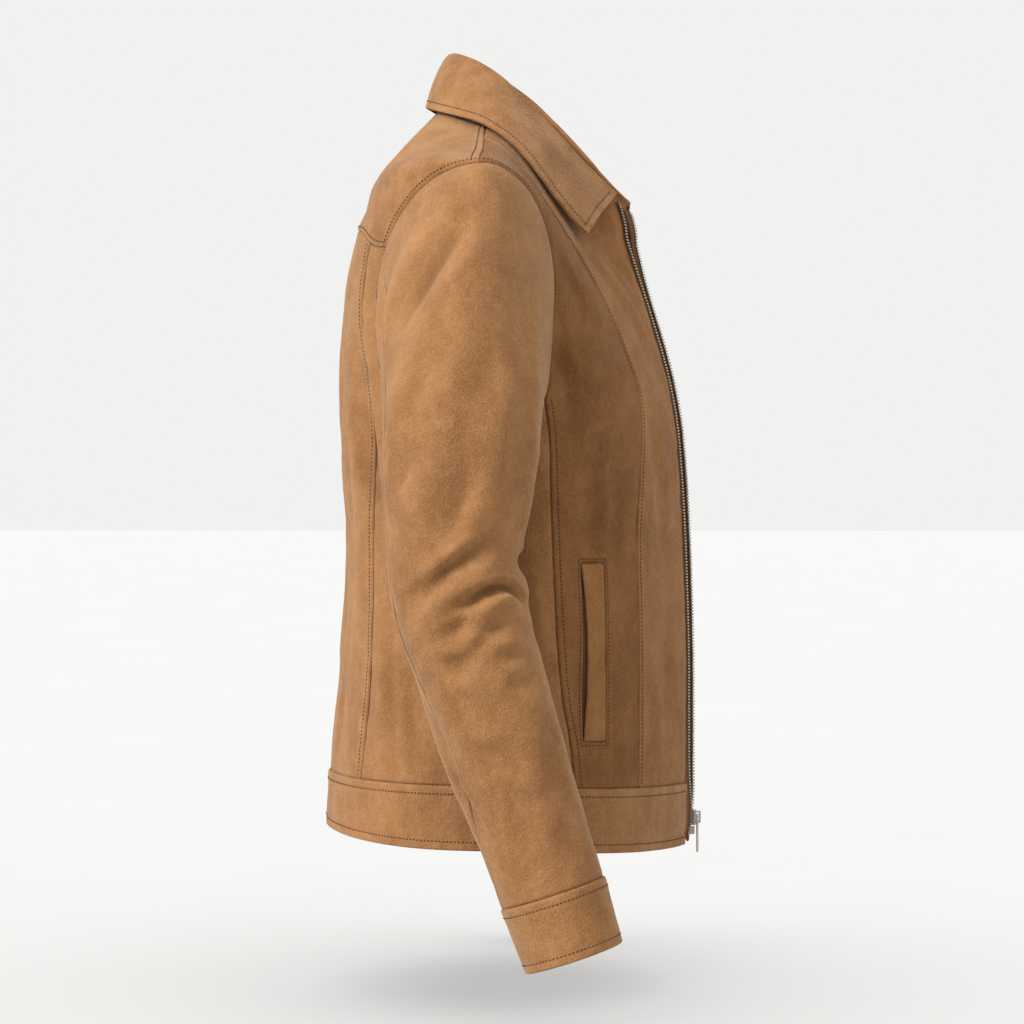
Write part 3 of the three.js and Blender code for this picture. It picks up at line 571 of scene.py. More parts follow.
class Pattern:
    """The seam lines that the jacket's panels are cut along, on the wearer's right."""

    princess_points = [
        (90, 46), (72, 22), (55, -8), (43, -38), (34.5, -69), (30.5, -115), (28, -160),
        (24.4, -205), (25, -235), (28, -275), (31.5, -327), (32, -405), (32, BAND_TOP),
    ]
    side_points = [
        (66, -222), (64.5, -253), (64.5, -297), (64.2, -342), (63.2, -401), (61.5, -446),
        (59, -479), (57.5, BAND_TOP),
    ]
    back_points = [
        (131.5, -104.5), (131.3, -130), (130.8, -161), (129, -190), (126.8, -236),
        (127.2, -297), (128, -343), (127, -389), (126.5, -435), (128.2, BAND_TOP),
    ]
    yoke_side_points = [(120.5, -110), (126, -109), (131.5, -104.5)]
    yoke_back_points = [(131.5, -104.5), (142, -93), (158, -85), (180, -82)]
    armhole_points = [
        (90, SHOULDER_POINT), (74, -46), (62.5, -50), (56, -68), (54.5, -95), (56.5, -125),
        (60, -157), (62.5, -190), (66, -222), (75, -243), (86, -251), (97, -250), (107, -238),
        (114, -213), (119, -178), (122.5, -140), (120.5, -110), (114, -86), (103, -64),
    ]
    side_corner = 8
    yoke_corner = 16

    def __init__(self) -> None:
        """Draws all the seam lines."""
        ring = smooth_curve(self.armhole_points, closed=True)
        count = len(self.armhole_points)

        def arc(start: int, end: int) -> EdgeFunction:
            """A run of the armhole between two of its points."""
            return paced(lambda s: ring((start + (end - start) * np.asarray(s)) / count))

        self.armhole_front = arc(0, self.side_corner)
        self.armhole_under = arc(self.side_corner, self.yoke_corner)
        self.armhole_back = arc(self.yoke_corner, count)
        self.princess = paced(smooth_curve(self.princess_points))
        self.side = paced(smooth_curve(self.side_points))
        self.back = paced(smooth_curve(self.back_points))
        self.yoke_side = paced(smooth_curve(self.yoke_side_points))
        self.yoke_back = paced(smooth_curve(self.yoke_back_points))
        top = self.princess_points[0][1]
        self.shoulder_inner = shoulder_run(NECK, top)
        self.shoulder_outer = shoulder_run(top, SHOULDER_POINT)
        self.neck_front = level_run(float(BODY.front_angle(NECK)), 90, NECK)
        self.neck_back = level_run(90, 270, NECK)
        feet = [
            float(BODY.front_angle(BAND_TOP)), self.princess_points[-1][0],
            self.side_points[-1][0], self.back_points[-1][0],
        ]
        self.feet = feet
        self.band_centre = level_run(feet[0], feet[1], BAND_TOP)
        self.band_front = level_run(feet[1], feet[2], BAND_TOP)
        self.band_side = level_run(feet[2], feet[3], BAND_TOP)
        self.band_back = level_run(feet[3], 360 - feet[3], BAND_TOP)
        self.front = paced(self._front_edge)
        self.turns = self._armhole_turns()

    @staticmethod
    def _front_edge(share: Array) -> Array:
        """The suede's front edge from the neck to the waistband."""
        level = NECK + (BAND_TOP - NECK) * np.asarray(share)
        return np.stack([BODY.front_angle(level), level], axis=-1)

    def _armhole_turns(self) -> tuple[float, float]:
        """Turns round the sleeve at the armhole's two seam corners.

        Returns:
            The front turn and the back one.
        """
        lengths = []
        for run in (self.armhole_front, self.armhole_under, self.armhole_back):
            places = run(np.linspace(0, 1, 200))
            points = BODY.point(places[:, 0], places[:, 1])
            lengths.append(np.linalg.norm(np.diff(points, axis=0), axis=1).sum())
        total = sum(lengths)
        return 360 * lengths[0] / total, 360 * (lengths[0] + lengths[1]) / total

    def armhole_ring(self) -> EdgeFunction:
        """Points of the armhole by turn round the sleeve.

        Returns:
            The point at each turn, in millimetres.
        """
        corners = [0, *self.turns, 360]
        samples, places = [], []
        for run, start, end in zip(
            (self.armhole_front, self.armhole_under, self.armhole_back), corners, corners[1:]
        ):
            share = np.linspace(0, 1, 160)[:-1]
            samples.append(start + (end - start) * share)
            places.append(run(share))
        turns = np.append(np.concatenate(samples), 360)
        places = np.vstack([*places, places[0][:1]])
        points = BODY.point(places[:, 0], places[:, 1])
        return lambda turn: values_at(turn, turns, points)


def patch(
    top: EdgeFunction, bottom: EdgeFunction, left: EdgeFunction, right: EdgeFunction,
    u: Array, v: Array, fade: float = 3,
) -> Array:
    """Places of a panel between four runs of seam, row by row from the top.

    Args:
        top: Run from the left corner to the right one.
        bottom: Run below it, in the same sense.
        left: Run from the top down.
        right: Run from the top down.
        u: Shares of the columns.
        v: Shares of the rows.
        fade: How soon the bend of the top and bottom runs fades into the panel.

    Returns:
        Angle and level for each row and column.
    """
    across, down = u[None, :, None], v[:, None, None]

    def bend(run: EdgeFunction) -> Array:
        """How a run departs from the straight line between its ends."""
        places = run(u)[None]
        return places - places[:, :1] * (1 - across) - places[:, -1:] * across

    straight = left(v)[:, None] * (1 - across) + right(v)[:, None] * across
    return straight + bend(top) * (1 - down) ** fade + bend(bottom) * down ** fade


def shares(length: float, cell: float, stops: Sequence[float] = ()) -> Array:
    """Shares along a side of a panel, closer near its ends and its stops.

    Args:
        length: Length of the side.
        cell: Distance between columns far from the ends.
        stops: Shares where the side has another edge.

    Returns:
        Shares from 0 to 1.
    """
    near = [0.0, 0.45, 1.0, 1.7, 2.6, 3.7, 5.0, 6.6, 8.6]
    marks = [0.0, *stops, 1.0]
    made: list[float] = []
    for start, end in zip(marks[:-1], marks[1:]):
        span = (end - start) * length
        close = [d for d in near if d < span / 2 - cell / 2]
        middle = np.linspace(
            close[-1], span - close[-1], max(1, round((span - 2 * close[-1]) / cell)) + 1
        )
        steps = [*close[:-1], *middle, *[span - d for d in close[-2:0:-1]]]
        made.extend(start + np.array(steps) / length)
    return np.append(made, 1.0)


# Folds


@dataclass(frozen=True)
class Fold:
    """One soft fold of the cloth along a path: a trough if its height is below zero."""

    path: tuple[Place, ...]
    width: float
    height: float
    skew: float = 0.0


@dataclass(frozen=True)
class FoldField:
    """All folds of one surface, whose first value is in degrees."""

    folds: tuple[Fold, ...]
    degree: float
    ends: float = 0.08
    rim: float = 0.28

    def relief(self, turn: Array, along: Array) -> Array:
        """Height of all the folds together."""
        total = np.zeros(np.broadcast(turn, along).shape)
        for fold in self.folds:
            total += self._one(fold, turn, along)
        return total

    def _one(self, fold: Fold, turn: Array, along: Array) -> Array:
        """Height of one fold.

        Args:
            fold: The fold.
            turn: Angles or turns, in degrees.
            along: Levels or distances.

        Returns:
            Heights in millimetres.
        """
        path = smooth_curve(fold.path)(np.linspace(0, 1, 6 * (len(fold.path) - 1) + 1))
        path = path * [self.degree, 1]
        place = np.stack(np.broadcast_arrays(turn * self.degree, along), axis=-1)
        nearest = np.full(place.shape[:-1], np.inf)
        share, side = np.zeros_like(nearest), np.zeros_like(nearest)
        count = len(path) - 1
        for i, (start, end) in enumerate(zip(path[:-1], path[1:])):
            run = end - start
            s = np.clip((place - start) @ run / (run @ run), 0, 1)
            away = place - start - s[..., None] * run
            distance = np.linalg.norm(away, axis=-1)
            closer = distance < nearest
            nearest = np.where(closer, distance, nearest)
            share = np.where(closer, (i + s) / count, share)
            side = np.where(closer, np.sign(run[0] * away[..., 1] - run[1] * away[..., 0]), side)
        off = nearest / (fold.width * (1 + fold.skew * side))
        fade = self.ends + (1 - self.ends) * np.sin(np.pi * share)
        form = bell(off) - self.rim * bell((off - 1.75) / 0.7)
        return fold.height * fade * form


def folds(table: str) -> tuple[Fold, ...]:
    """Folds from a table of text.

    Args:
        table: A row for each fold: width, height, skew and the path's values in pairs.

    Returns:
        The folds.
    """
    made = []
    for line in table.splitlines():
        if line.strip() and not line.strip().startswith("#"):
            width, height, skew, *path = map(float, line.split())
            made.append(Fold(tuple(zip(path[::2], path[1::2])), width, height, skew))
    return tuple(made)


BODY_DEGREE = 3.2
RIGHT_BODY_FOLDS = folds("""
    # Side and back, from the armhole down
    14 -6 0.25 134 -165 128 -240 121 -320
    16 4.2 0.2 116 -262 112 -330 106 -400
    8 -3.4 0.3 124 -150 114 -215 104 -262
    6 -2.6 0.2 129 -128 125 -150 119 -172
    11 -3.8 -0.3 112 -240 100 -300 95 -372
    12 3 0.3 100 -268 88 -330 84 -400
    16 -4.2 0.2 80 -300 76 -370 74 -440
    11 2.6 0.2 90 -420 84 -465 82 -505
    12 -3 -0.2 110 -420 106 -465 104 -510
    12 2.4 0.2 124 -380 120 -440 118 -505
    17 -4.6 0.2 153 -140 148 -240 146 -335
    12 3.4 -0.2 140 -235 136 -330 139 -420
    14 -3.6 0.2 160 -290 154 -380 157 -470
    15 3 0.1 171 -112 167 -200 172 -300
    11 -2.6 0.1 164 -150 160 -215 163 -280
    13 2.6 0.1 176 -330 171 -400 174 -470
    9 -2.6 0.1 148 -430 146 -470 147 -508
    10 -2.2 0.1 169 -440 167 -475 168 -510
    9 -1.8 0.1 140 -60 150 -68 162 -70
    # Front
    12 -4.2 0.2 57 -209 45 -214 30 -206
    13 2.4 0.1 52 -188 41 -178 32 -172
    12 -3.4 0.3 58 -150 57 -200 55 -262
    15 -2.4 0.2 54 -250 50 -310 53 -372
    12 -2 -0.2 38 -262 42 -320 39 -392
    10 -1.8 0.1 58 -400 56 -440 57 -490
    11 -2 0.2 52 -92 47 -130 46 -168
    12 1.6 0 40 -95 38 -140 36 -168
    7 3.2 0.2 25 20 18 -78 13 -136 10 -180
    5 -2.8 0.2 19 40 12 -40 8 -105
    10 -2.2 0.1 21 -220 18 -290 20 -352
    9 -1.6 0.1 15 -330 17 -410 14 -480
    8 1.6 0.1 26 -420 22 -465 24 -508
    8 -1.6 0 44 -480 42 -500 42 -514
""")


def varied(rows: Sequence[Fold], seed: int, reach: tuple[float, float]) -> tuple[Fold, ...]:
    """The same folds, each shifted and a little wider or lower.

    Args:
        rows: The folds.
        seed: Picks one variation.
        reach: Largest shift in degrees and in millimetres.

    Returns:
        The varied folds.
    """
    chance = np.random.default_rng(seed)
    made = []
    for fold in rows:
        shift = chance.uniform(-1, 1, 2) * reach
        path = tuple((turn + shift[0], along + shift[1]) for turn, along in fold.path)
        scale = chance.uniform(0.75, 1.1)
        made.append(
            Fold(path, fold.width * chance.uniform(0.9, 1.15), fold.height * scale, fold.skew)
        )
    return tuple(made)


def other_side(rows: Sequence[Fold], seed: int) -> tuple[Fold, ...]:
    """The same folds on the wearer's left, each a little off so that the sides aren't mirrored."""
    return tuple(
        Fold(
            tuple((360 - turn, along) for turn, along in fold.path), fold.width, fold.height,
            -fold.skew
        )
        for fold in varied(rows, seed, (2.2, 11))
    )


BODY_FOLDS = FoldField(RIGHT_BODY_FOLDS + other_side(RIGHT_BODY_FOLDS, 11), BODY_DEGREE)

SLEEVE_DEGREE = 0.8
SLEEVE_FOLDS = FoldField(folds("""
    # Shoulder and upper arm
    8.5 -6.2 0.3 -7 -108 -11 -90 -32 -70 -58 -59
    9 2.8 0.1 -20 -106 -40 -89 -68 -79
    8 -4.6 0.2 -60 -98 -74 -84 -86 -64
    8 -3.2 0.2 -3 -52 -18 -37 -29 -22
    12 -2.8 0.2 44 -62 22 -34 10 -14
    9.5 -4.8 0.25 10 -16 13 18 6 52 -17 79
    10 2.8 0.2 -26 -54 -42 -32 -52 -12
    8 -3.2 0.2 -24 -4 -36 18 -49 34
    10 2.4 0.1 -10 8 -20 34 -34 58
    10 -2.8 0.2 58 -54 66 -10 60 34
    8 -2.2 0.2 40 -94 52 -60 56 -30
    8 -2.6 0.2 82 18 70 48 52 60
    9 2 0.1 36 -4 40 24 34 50
    # Elbow
    5.8 -7.4 0.35 3 114 19 110 36 104 55 103 72 112 86 128
    5.5 3.6 0.2 16 122 38 116 58 115 74 126
    7.2 -5.8 0.3 -40 106 -17 96 10 82 31 69 48 60
    7 3 0.2 -30 114 -2 102 24 89
    5.6 -4.8 0.2 -22 130 0 128 19 125
    5.2 -4.2 0.2 18 136 36 136 54 138
    5.2 -3.2 0 6 144 28 146
    5.8 -3.8 0.2 26 155 47 159 70 160
    6.2 -3.6 0.2 -26 147 -7 152 14 154
    8.5 -4 0.2 80 78 102 81 126 82
    6.5 -3.8 0.2 58 143 77 146 102 150
    8 2.6 0.1 88 96 94 110 98 124
    7 1.8 0 -60 128 -42 122 -25 118
    7 -2.2 0.2 -64 160 -48 158 -34 164
    # Forearm
    9 -3 0.2 26 186 52 176 78 172
    9 -2.4 0.2 -24 178 4 186 32 200
    9 -2 0.2 -34 214 -10 220 22 226
    9 -2 0.2 0 252 24 262 48 260
    9 -1.6 0.2 -50 190 -40 230 -46 275
    10 1.4 0.2 20 226 28 262 24 300
    9 -1.7 -0.2 62 210 54 250 58 300
    8 -1.2 0.2 -8 262 0 290 -4 318
    15 5.2 0.1 -100 140 -95 210 -90 290
    7 -2.4 0.1 -72 170 -70 230 -60 280
    5 -2.6 0.2 -66 236 -52 262 -40 276
    # Towards the body
    9 -4.2 0.2 120 112 160 104 200 100
    8 -3 0.2 110 140 150 146 190 140
    8 -2.8 0.2 120 80 160 70 205 74
    12 -2.4 0.2 150 -40 160 0 150 40
    9 -2.2 0.2 210 60 222 110 215 160
    10 -1.8 0.2 130 190 140 240 132 300
    9 1.6 0.2 190 200 182 250 188 305
"""), SLEEVE_DEGREE)
LEFT_SLEEVE_FOLDS = FoldField(varied(SLEEVE_FOLDS.folds, 23, (11, 13)), SLEEVE_DEGREE)


# Cloth


class EdgeKind(Enum):
    """How a panel ends at a side."""

    SEAM = "seam"
    LAPPED = "lapped"
    FREE = "free"
    HIDDEN = "hidden"


@dataclass(frozen=True)
class EdgeFinish:
    """One side of a panel, or a stretch of it: its kind and where its stitches run."""

    kind: EdgeKind
    stitch: float = 0.0
    start: float = 0.0
    end: float = 1.0
    trim: float = 2.0
    crease: float = 0.0
    anchored: bool = False

    def height(self, away: Array) -> Array:
        """Height of the cloth near the side.

        Args:
            away: Distances from the side, in millimetres.

        Returns:
            Heights in millimetres.
        """
        if self.kind in (EdgeKind.FREE, EdgeKind.HIDDEN):
            groove = np.zeros_like(away)
        elif self.kind is EdgeKind.SEAM:
            groove = -0.85 * bell(away / 1.05)
        else:
            groove = -0.9 * bell(away / 0.75)
            raised = soft(away / 1.6) * (1 - soft((away - self.stitch - 1.0) / 4.0))
            groove = groove + 0.34 * raised
        if self.crease:
            groove = groove + 0.6 * bell((away - self.crease) / 2.6) - 0.5 * bell(
                (away - self.crease / 3) / 1.1
            )
        if self.stitch:
            groove = groove - 0.26 * bell((away - self.stitch) / 1.0)
        return groove

    def pucker(self, away: Array) -> Array:
        """How strongly the seam gathers the cloth beside it."""
        if self.kind is EdgeKind.HIDDEN:
            return np.zeros_like(away)
        return 0.42 * bell((away - 5) / 8)


SEAM = EdgeFinish(EdgeKind.SEAM)
HIDDEN = EdgeFinish(EdgeKind.HIDDEN)
FREE = EdgeFinish(EdgeKind.FREE)


class Side(Enum):
    """Sides of a panel's grid."""

    TOP = "top"
    BOTTOM = "bottom"
    LEFT = "left"
    RIGHT = "right"


@dataclass
class Cloth:
    """A panel of cloth on a surface, with its thickness, edges, folds and stitch rows.

    Points are rows and columns of places in millimetres.
    """

    name: str
    points: Array
    normals: Array
    relief: Array
    u: Array
    v: Array
    edges: dict[Side, tuple[EdgeFinish, ...]]
    wall: float = 1.8
    lift: float = 0.0
    around: bool = False
    cut: Array | None = None
    seed: int = 1
    extra: Array | float = 0.0
    outer: Array = field(init=False)
    inner: Array = field(init=False)
    tone: Array = field(init=False)
    away: dict[Side, Array] = field(init=False)

    def __post_init__(self) -> None:
        """Works out both faces and the painted shading of the panel."""
        self.away = self._distances()
        height, pucker, rim, anchor = self._edge_forms()
        height = height + self.extra
        gather = lumps(self.points, GATHER_LUMP, self.seed + 2) * pucker
        base = self.relief + unevenness(self.points, self.seed) + gather
        radius = self.wall / 2
        free = soft(anchor / ANCHOR_REACH)
        shift = (base + height) * free
        drop = radius - np.sqrt(np.maximum(radius ** 2 - np.clip(radius - rim, 0, radius) ** 2, 0))
        normals = self.normals
        self.outer = self.points + normals * (self.lift + shift - drop)[..., None]
        self.inner = self.points + normals * (self.lift - self.wall + base * free + drop)[..., None]
        # Painted shading from the cloth's height: painted highlight on ridges, painted shade in
        # seam grooves, stitch grooves and fold troughs.
        self.tone = np.clip(height * 0.5 + 0.05 + gather * 0.4 + self.relief * 0.06, -1, 1)

    def _distances(self) -> dict[Side, Array]:
        """Distance of each point from the panel's sides.

        Returns:
            A grid of distances for each side.
        """
        across = np.linalg.norm(np.diff(self.points, axis=1), axis=-1)
        across = np.hstack([np.zeros((len(across), 1)), np.cumsum(across, axis=1)])
        down = np.linalg.norm(np.diff(self.points, axis=0), axis=-1)
        down = np.vstack([np.zeros((1, down.shape[1])), np.cumsum(down, axis=0)])
        away = {Side.TOP: down, Side.BOTTOM: down[-1:] - down}
        if not self.around:
            away |= {Side.LEFT: across, Side.RIGHT: across[:, -1:] - across}
        return away

    def _edge_forms(self) -> tuple[Array, Array, Array, Array]:
        """What the edges do to the cloth.

        Returns:
            Heights, gathers, and distances from a free rim and from an anchored edge.
        """
        height = np.zeros(self.relief.shape)
        pucker = np.zeros(self.relief.shape)
        rim = np.full(self.relief.shape, FAR)
        anchor = rim.copy()
        for side, finishes in self.edges.items():
            away = self.away[side]
            share = self.u[None, :] if side in (Side.TOP, Side.BOTTOM) else self.v[:, None]
            for finish in finishes:
                here = (share >= finish.start - SHARE_SLACK) & (share <= finish.end + SHARE_SLACK)
                here = np.broadcast_to(here, away.shape)
                height += np.where(here, finish.height(away), 0)
                pucker = np.maximum(pucker, np.where(here, finish.pucker(away), 0))
                if finish.kind is EdgeKind.FREE:
                    rim = np.where(here, np.minimum(rim, away), rim)
                if finish.anchored:
                    anchor = np.where(here, np.minimum(anchor, away), anchor)
        return np.maximum(height, -DEEPEST_GROOVE), pucker, rim, anchor

    def line(self, side: Side, distance: float, finish: EdgeFinish) -> Line:
        """A line on the outer face along a side.

        Args:
            side: The side.
            distance: Distance from it, in millimetres.
            finish: The stretch of the side that counts.

        Returns:
            Points and normals of the line.
        """
        away, outer, normals = self.away[side], self.outer, self.normals
        share = self.u if side in (Side.TOP, Side.BOTTOM) else self.v
        if side in (Side.TOP, Side.BOTTOM):
            away, outer, normals = away.T, outer.swapaxes(0, 1), normals.swapaxes(0, 1)
        if side in (Side.BOTTOM, Side.RIGHT):
            away, outer, normals = away[:, ::-1], outer[:, ::-1], normals[:, ::-1]
        picked = np.flatnonzero(
            (share >= finish.start - SHARE_SLACK) & (share <= finish.end + SHARE_SLACK)
        )
        places = [
            [
                np.interp(distance, away[i], grid[i, :, k]) for grid in (outer, normals)
                for k in range(3)
            ]
            for i in picked
        ]
        if self.around:
            places.append(places[0])
        made = np.array(places)
        return made[:, :3], made[:, 3:]

    def stitch_lines(self) -> list[Line]:
        """Lines of all stitch rows of the panel.

        Returns:
            Points and normals of each row.
        """
        lines = []
        for side, finishes in self.edges.items():
            for finish in finishes:
                if finish.stitch:
                    points, normals = self.line(side, finish.stitch, finish)
                    lines.append(trimmed(points, normals, finish.trim))
        return lines

    def flat(self) -> tuple[float, float, float]:
        """Size of the cut, from the panel's own rows and columns.

        Returns:
            Width, length and area, in metres.
        """
        closing = np.linalg.norm(self.points[:, 0] - self.points[:, -1], axis=-1)
        across = np.linalg.norm(np.diff(self.points, axis=1), axis=-1).sum(axis=1)
        if self.around:
            across = across + closing
        down = np.linalg.norm(np.diff(self.points, axis=0), axis=-1).sum(axis=0)
        a, b = np.diff(self.points[:-1], axis=1), np.diff(self.points[:, :-1], axis=0)
        cells = np.linalg.norm(np.cross(a, b), axis=-1)
        if self.cut is not None:
            cells = np.where(self.cut, 0, cells)
        area = cells.sum()
        if self.around:
            area *= across.mean() / (across.mean() - closing.mean())
        width, length = across.max() * MM, down.max() * MM
        return width, length, float(np.clip(area * MM * MM, 0.3 * width * length, width * length))

    def build(self, finishes: Sequence[Material]) -> Piece:
        """Makes the panel's closed shell.

        Args:
            finishes: Materials of the outer and the inner face.

        Returns:
            The new object, in metres.
        """
        rows, columns = self.relief.shape
        grid = np.arange(rows * columns).reshape(rows, columns)
        if self.around:
            grid = np.hstack([grid, grid[:, :1]])
        whole = np.ones((rows - 1, grid.shape[1] - 1), dtype=bool)
        if self.cut is not None:
            whole &= ~self.cut
        offset = rows * columns
        a, b, c, d = grid[:-1, :-1], grid[:-1, 1:], grid[1:, 1:], grid[1:, :-1]
        outer = np.stack([a, b, c, d], axis=-1)[whole]
        inner = np.stack([a, d, c, b], axis=-1)[whole] + offset
        framed = np.pad(whole, 1)
        if self.around:
            framed[:, 0], framed[:, -1] = framed[:, -2], framed[:, 1]
        rims = []
        for start, end, bare in (
            (a, b, whole & ~framed[:-2, 1:-1]), (c, d, whole & ~framed[2:, 1:-1]),
            (b, c, whole & ~framed[1:-1, 2:]), (d, a, whole & ~framed[1:-1, :-2]),
        ):
            rims.append(np.stack([end, start, start + offset, end + offset], axis=-1)[bare])
        rim = np.vstack(rims)
        faces = np.vstack([outer, rim, inner])
        points = np.vstack([self.outer.reshape(-1, 3), self.inner.reshape(-1, 3)]) * MM
        if signed_volume(points, faces) < 0:
            faces = faces[:, ::-1]
        slots = np.repeat([0, 1], [len(outer) + len(rim), len(inner)])
        tone = np.concatenate([self.tone.ravel(), self.tone.ravel() * 0.5])
        return mesh_object(self.name, points, faces, finishes, slots, tone)


def trimmed(points: Array, normals: Array, trim: float) -> Line:
    """A line shortened at both ends.

    Args:
        points: Points of the line.
        normals: Normals of the line.
        trim: Length to take off each end.

    Returns:
        Points and normals of what is left.
    """
    length = lengths_along(points)
    if length[-1] < 3 * trim + 4:
        return points, normals
    ends = np.array([trim, length[-1] - trim])
    keep = (length > ends[0]) & (length < ends[1])

    def cut(values: Array) -> Array:
        """The values between both ends."""
        caps = values_at(ends, length, values)
        return np.vstack([caps[:1], values[keep], caps[1:]])

    return cut(points), cut(normals)


def signed_volume(points: Array, faces: Array) -> float:
    """Volume inside quads, below zero if they face inwards."""
    a, b, c, d = (points[faces[:, k]] for k in range(4))
    return float(
        (np.einsum("ij,ij->i", a, np.cross(b, c)) + np.einsum("ij,ij->i", a, np.cross(c, d))).sum()
    )


def placed(name: str, data: bpy.types.ID) -> Piece:
    """A new object of the scene."""
    made = bpy.data.objects.new(name, data)
    bpy.context.scene.collection.objects.link(made)
    return made


def mesh_object(
    name: str, points: Array, faces: Sequence, finishes: Sequence[Material],
    slots: Array | None = None, tone: Array | None = None,
) -> Piece:
    """Makes a smooth-shaded mesh object.

    Args:
        name: Name of the object.
        points: Vertices, in metres.
        faces: Vertex numbers of each face.
        finishes: Materials, one for each slot.
        slots: Material slot of each face.
        tone: Painted shading of each vertex, from painted shade in grooves to painted highlight on
            ridges.

    Returns:
        The new object.
    """
    mesh = bpy.data.meshes.new(name)
    mesh.from_pydata(
        points.tolist(), [], faces.tolist() if isinstance(faces, np.ndarray) else faces
    )
    mesh.update()
    mesh.polygons.foreach_set("use_smooth", [True] * len(mesh.polygons))
    if slots is not None:
        mesh.polygons.foreach_set("material_index", slots.tolist())
    shade = mesh.attributes.new("tone", "FLOAT", "POINT")
    shade.data.foreach_set("value", np.zeros(len(points)) if tone is None else tone.astype(float))
    for material in finishes:
        mesh.materials.append(material)
    mesh.validate()
    return placed(name, mesh)


# Finishes


class NodeTree:
    """A material's nodes, wired by name."""

    def __init__(self, name: str) -> None:
        """Starts a material."""
        self.material = bpy.data.materials.new(name)
        self.material.use_nodes = True
        self.tree = self.material.node_tree
        self.shader = self.tree.nodes["Principled BSDF"]
        self.place = self.node("ShaderNodeTexCoord").outputs["Object"]

    def node(self, kind: str, **values: float) -> bpy.types.Node:
        """A new node with the given properties."""
        made = self.tree.nodes.new(kind)
        for name, value in values.items():
            setattr(made, name, value)
        return made

    def link(self, source: Socket, target: Socket) -> None:
        """Joins two sockets."""
        self.tree.links.new(source, target)

    def shade(self, name: str, value: object) -> None:
        """Sets one input of the shader."""
        target = self.shader.inputs[name]
        if isinstance(value, Socket):
            self.link(value, target)
        else:
            target.default_value = value

    def noise(
        self, scale: float, detail: float, stretch: tuple[float, float, float] = (1, 1, 1),
        rough: float = 0.55
    ) -> Socket:
        """Noise over the object.

        Args:
            scale: How fine it is.
            detail: Octaves.
            stretch: Scale along each axis.
            rough: Strength of the finer octaves.

        Returns:
            The noise's socket.
        """
        mapping = self.node("ShaderNodeMapping")
        mapping.inputs["Scale"].default_value = stretch
        self.link(self.place, mapping.inputs["Vector"])
        noise = self.node("ShaderNodeTexNoise")
        noise.inputs["Scale"].default_value = scale
        noise.inputs["Detail"].default_value = detail
        noise.inputs["Roughness"].default_value = rough
        self.link(mapping.outputs["Vector"], noise.inputs["Vector"])
        return noise.outputs["Fac"]

    def spread(
        self, value: Socket, low: float, high: float, to_low: float = 0.0, to_high: float = 1.0
    ) -> Socket:
        """A value's range stretched onto another."""
        mapped = self.node("ShaderNodeMapRange")
        for name, number in zip(
            ("From Min", "From Max", "To Min", "To Max"), (low, high, to_low, to_high)
        ):
            mapped.inputs[name].default_value = number
        self.link(value, mapped.inputs["Value"])
        return mapped.outputs["Result"]

    def mix(
        self, share: Socket | float, first: object, second: object, blend: str = "MIX"
    ) -> Socket:
        """Two colours, or sockets of colour, mixed.

        Args:
            share: Share of the second one.
            first: The first one.
            second: The second one.
            blend: Blender's way of mixing.

        Returns:
            The mixed colour's socket.
        """
        mixed = self.node("ShaderNodeMix", data_type="RGBA", blend_type=blend)
        for value, target in (
            (share, mixed.inputs[0]), (first, mixed.inputs[6]), (second, mixed.inputs[7])
        ):
            if isinstance(value, Socket):
                self.link(value, target)
            elif isinstance(value, tuple):
                target.default_value = (*value, 1.0)
            else:
                target.default_value = value
        return mixed.outputs[2]

    def maths(self, operation: str, first: object, second: object) -> Socket:
        """Two numbers, or sockets of numbers, in one sum.

        Args:
            operation: Blender's name of the sum.
            first: The first one.
            second: The second one.

        Returns:
            The result's socket.
        """
        made = self.node("ShaderNodeMath", operation=operation)
        for value, target in ((first, made.inputs[0]), (second, made.inputs[1])):
            if isinstance(value, Socket):
                self.link(value, target)
            else:
                target.default_value = value
        return made.outputs[0]

    def tone(self) -> Socket:
        """The cloth's painted shading: painted highlight on ridges, painted shade in grooves and
        fold troughs.
        """
        return self.node("ShaderNodeAttribute", attribute_name="tone").outputs["Fac"]

    def bump(self, height: Socket, distance: float, strength: float = 1.0) -> None:
        """Raises the surface a little by a height."""
        made = self.node("ShaderNodeBump")
        made.inputs["Distance"].default_value = distance
        made.inputs["Strength"].default_value = strength
        self.link(height, made.inputs["Height"])
        self.link(made.outputs["Normal"], self.shader.inputs["Normal"])


def linear(red: int, green: int, blue: int) -> tuple[float, float, float]:
    """A screen colour in linear light."""
    return tuple(((c / 255 + 0.055) / 1.055) ** 2.4 for c in (red, green, blue))


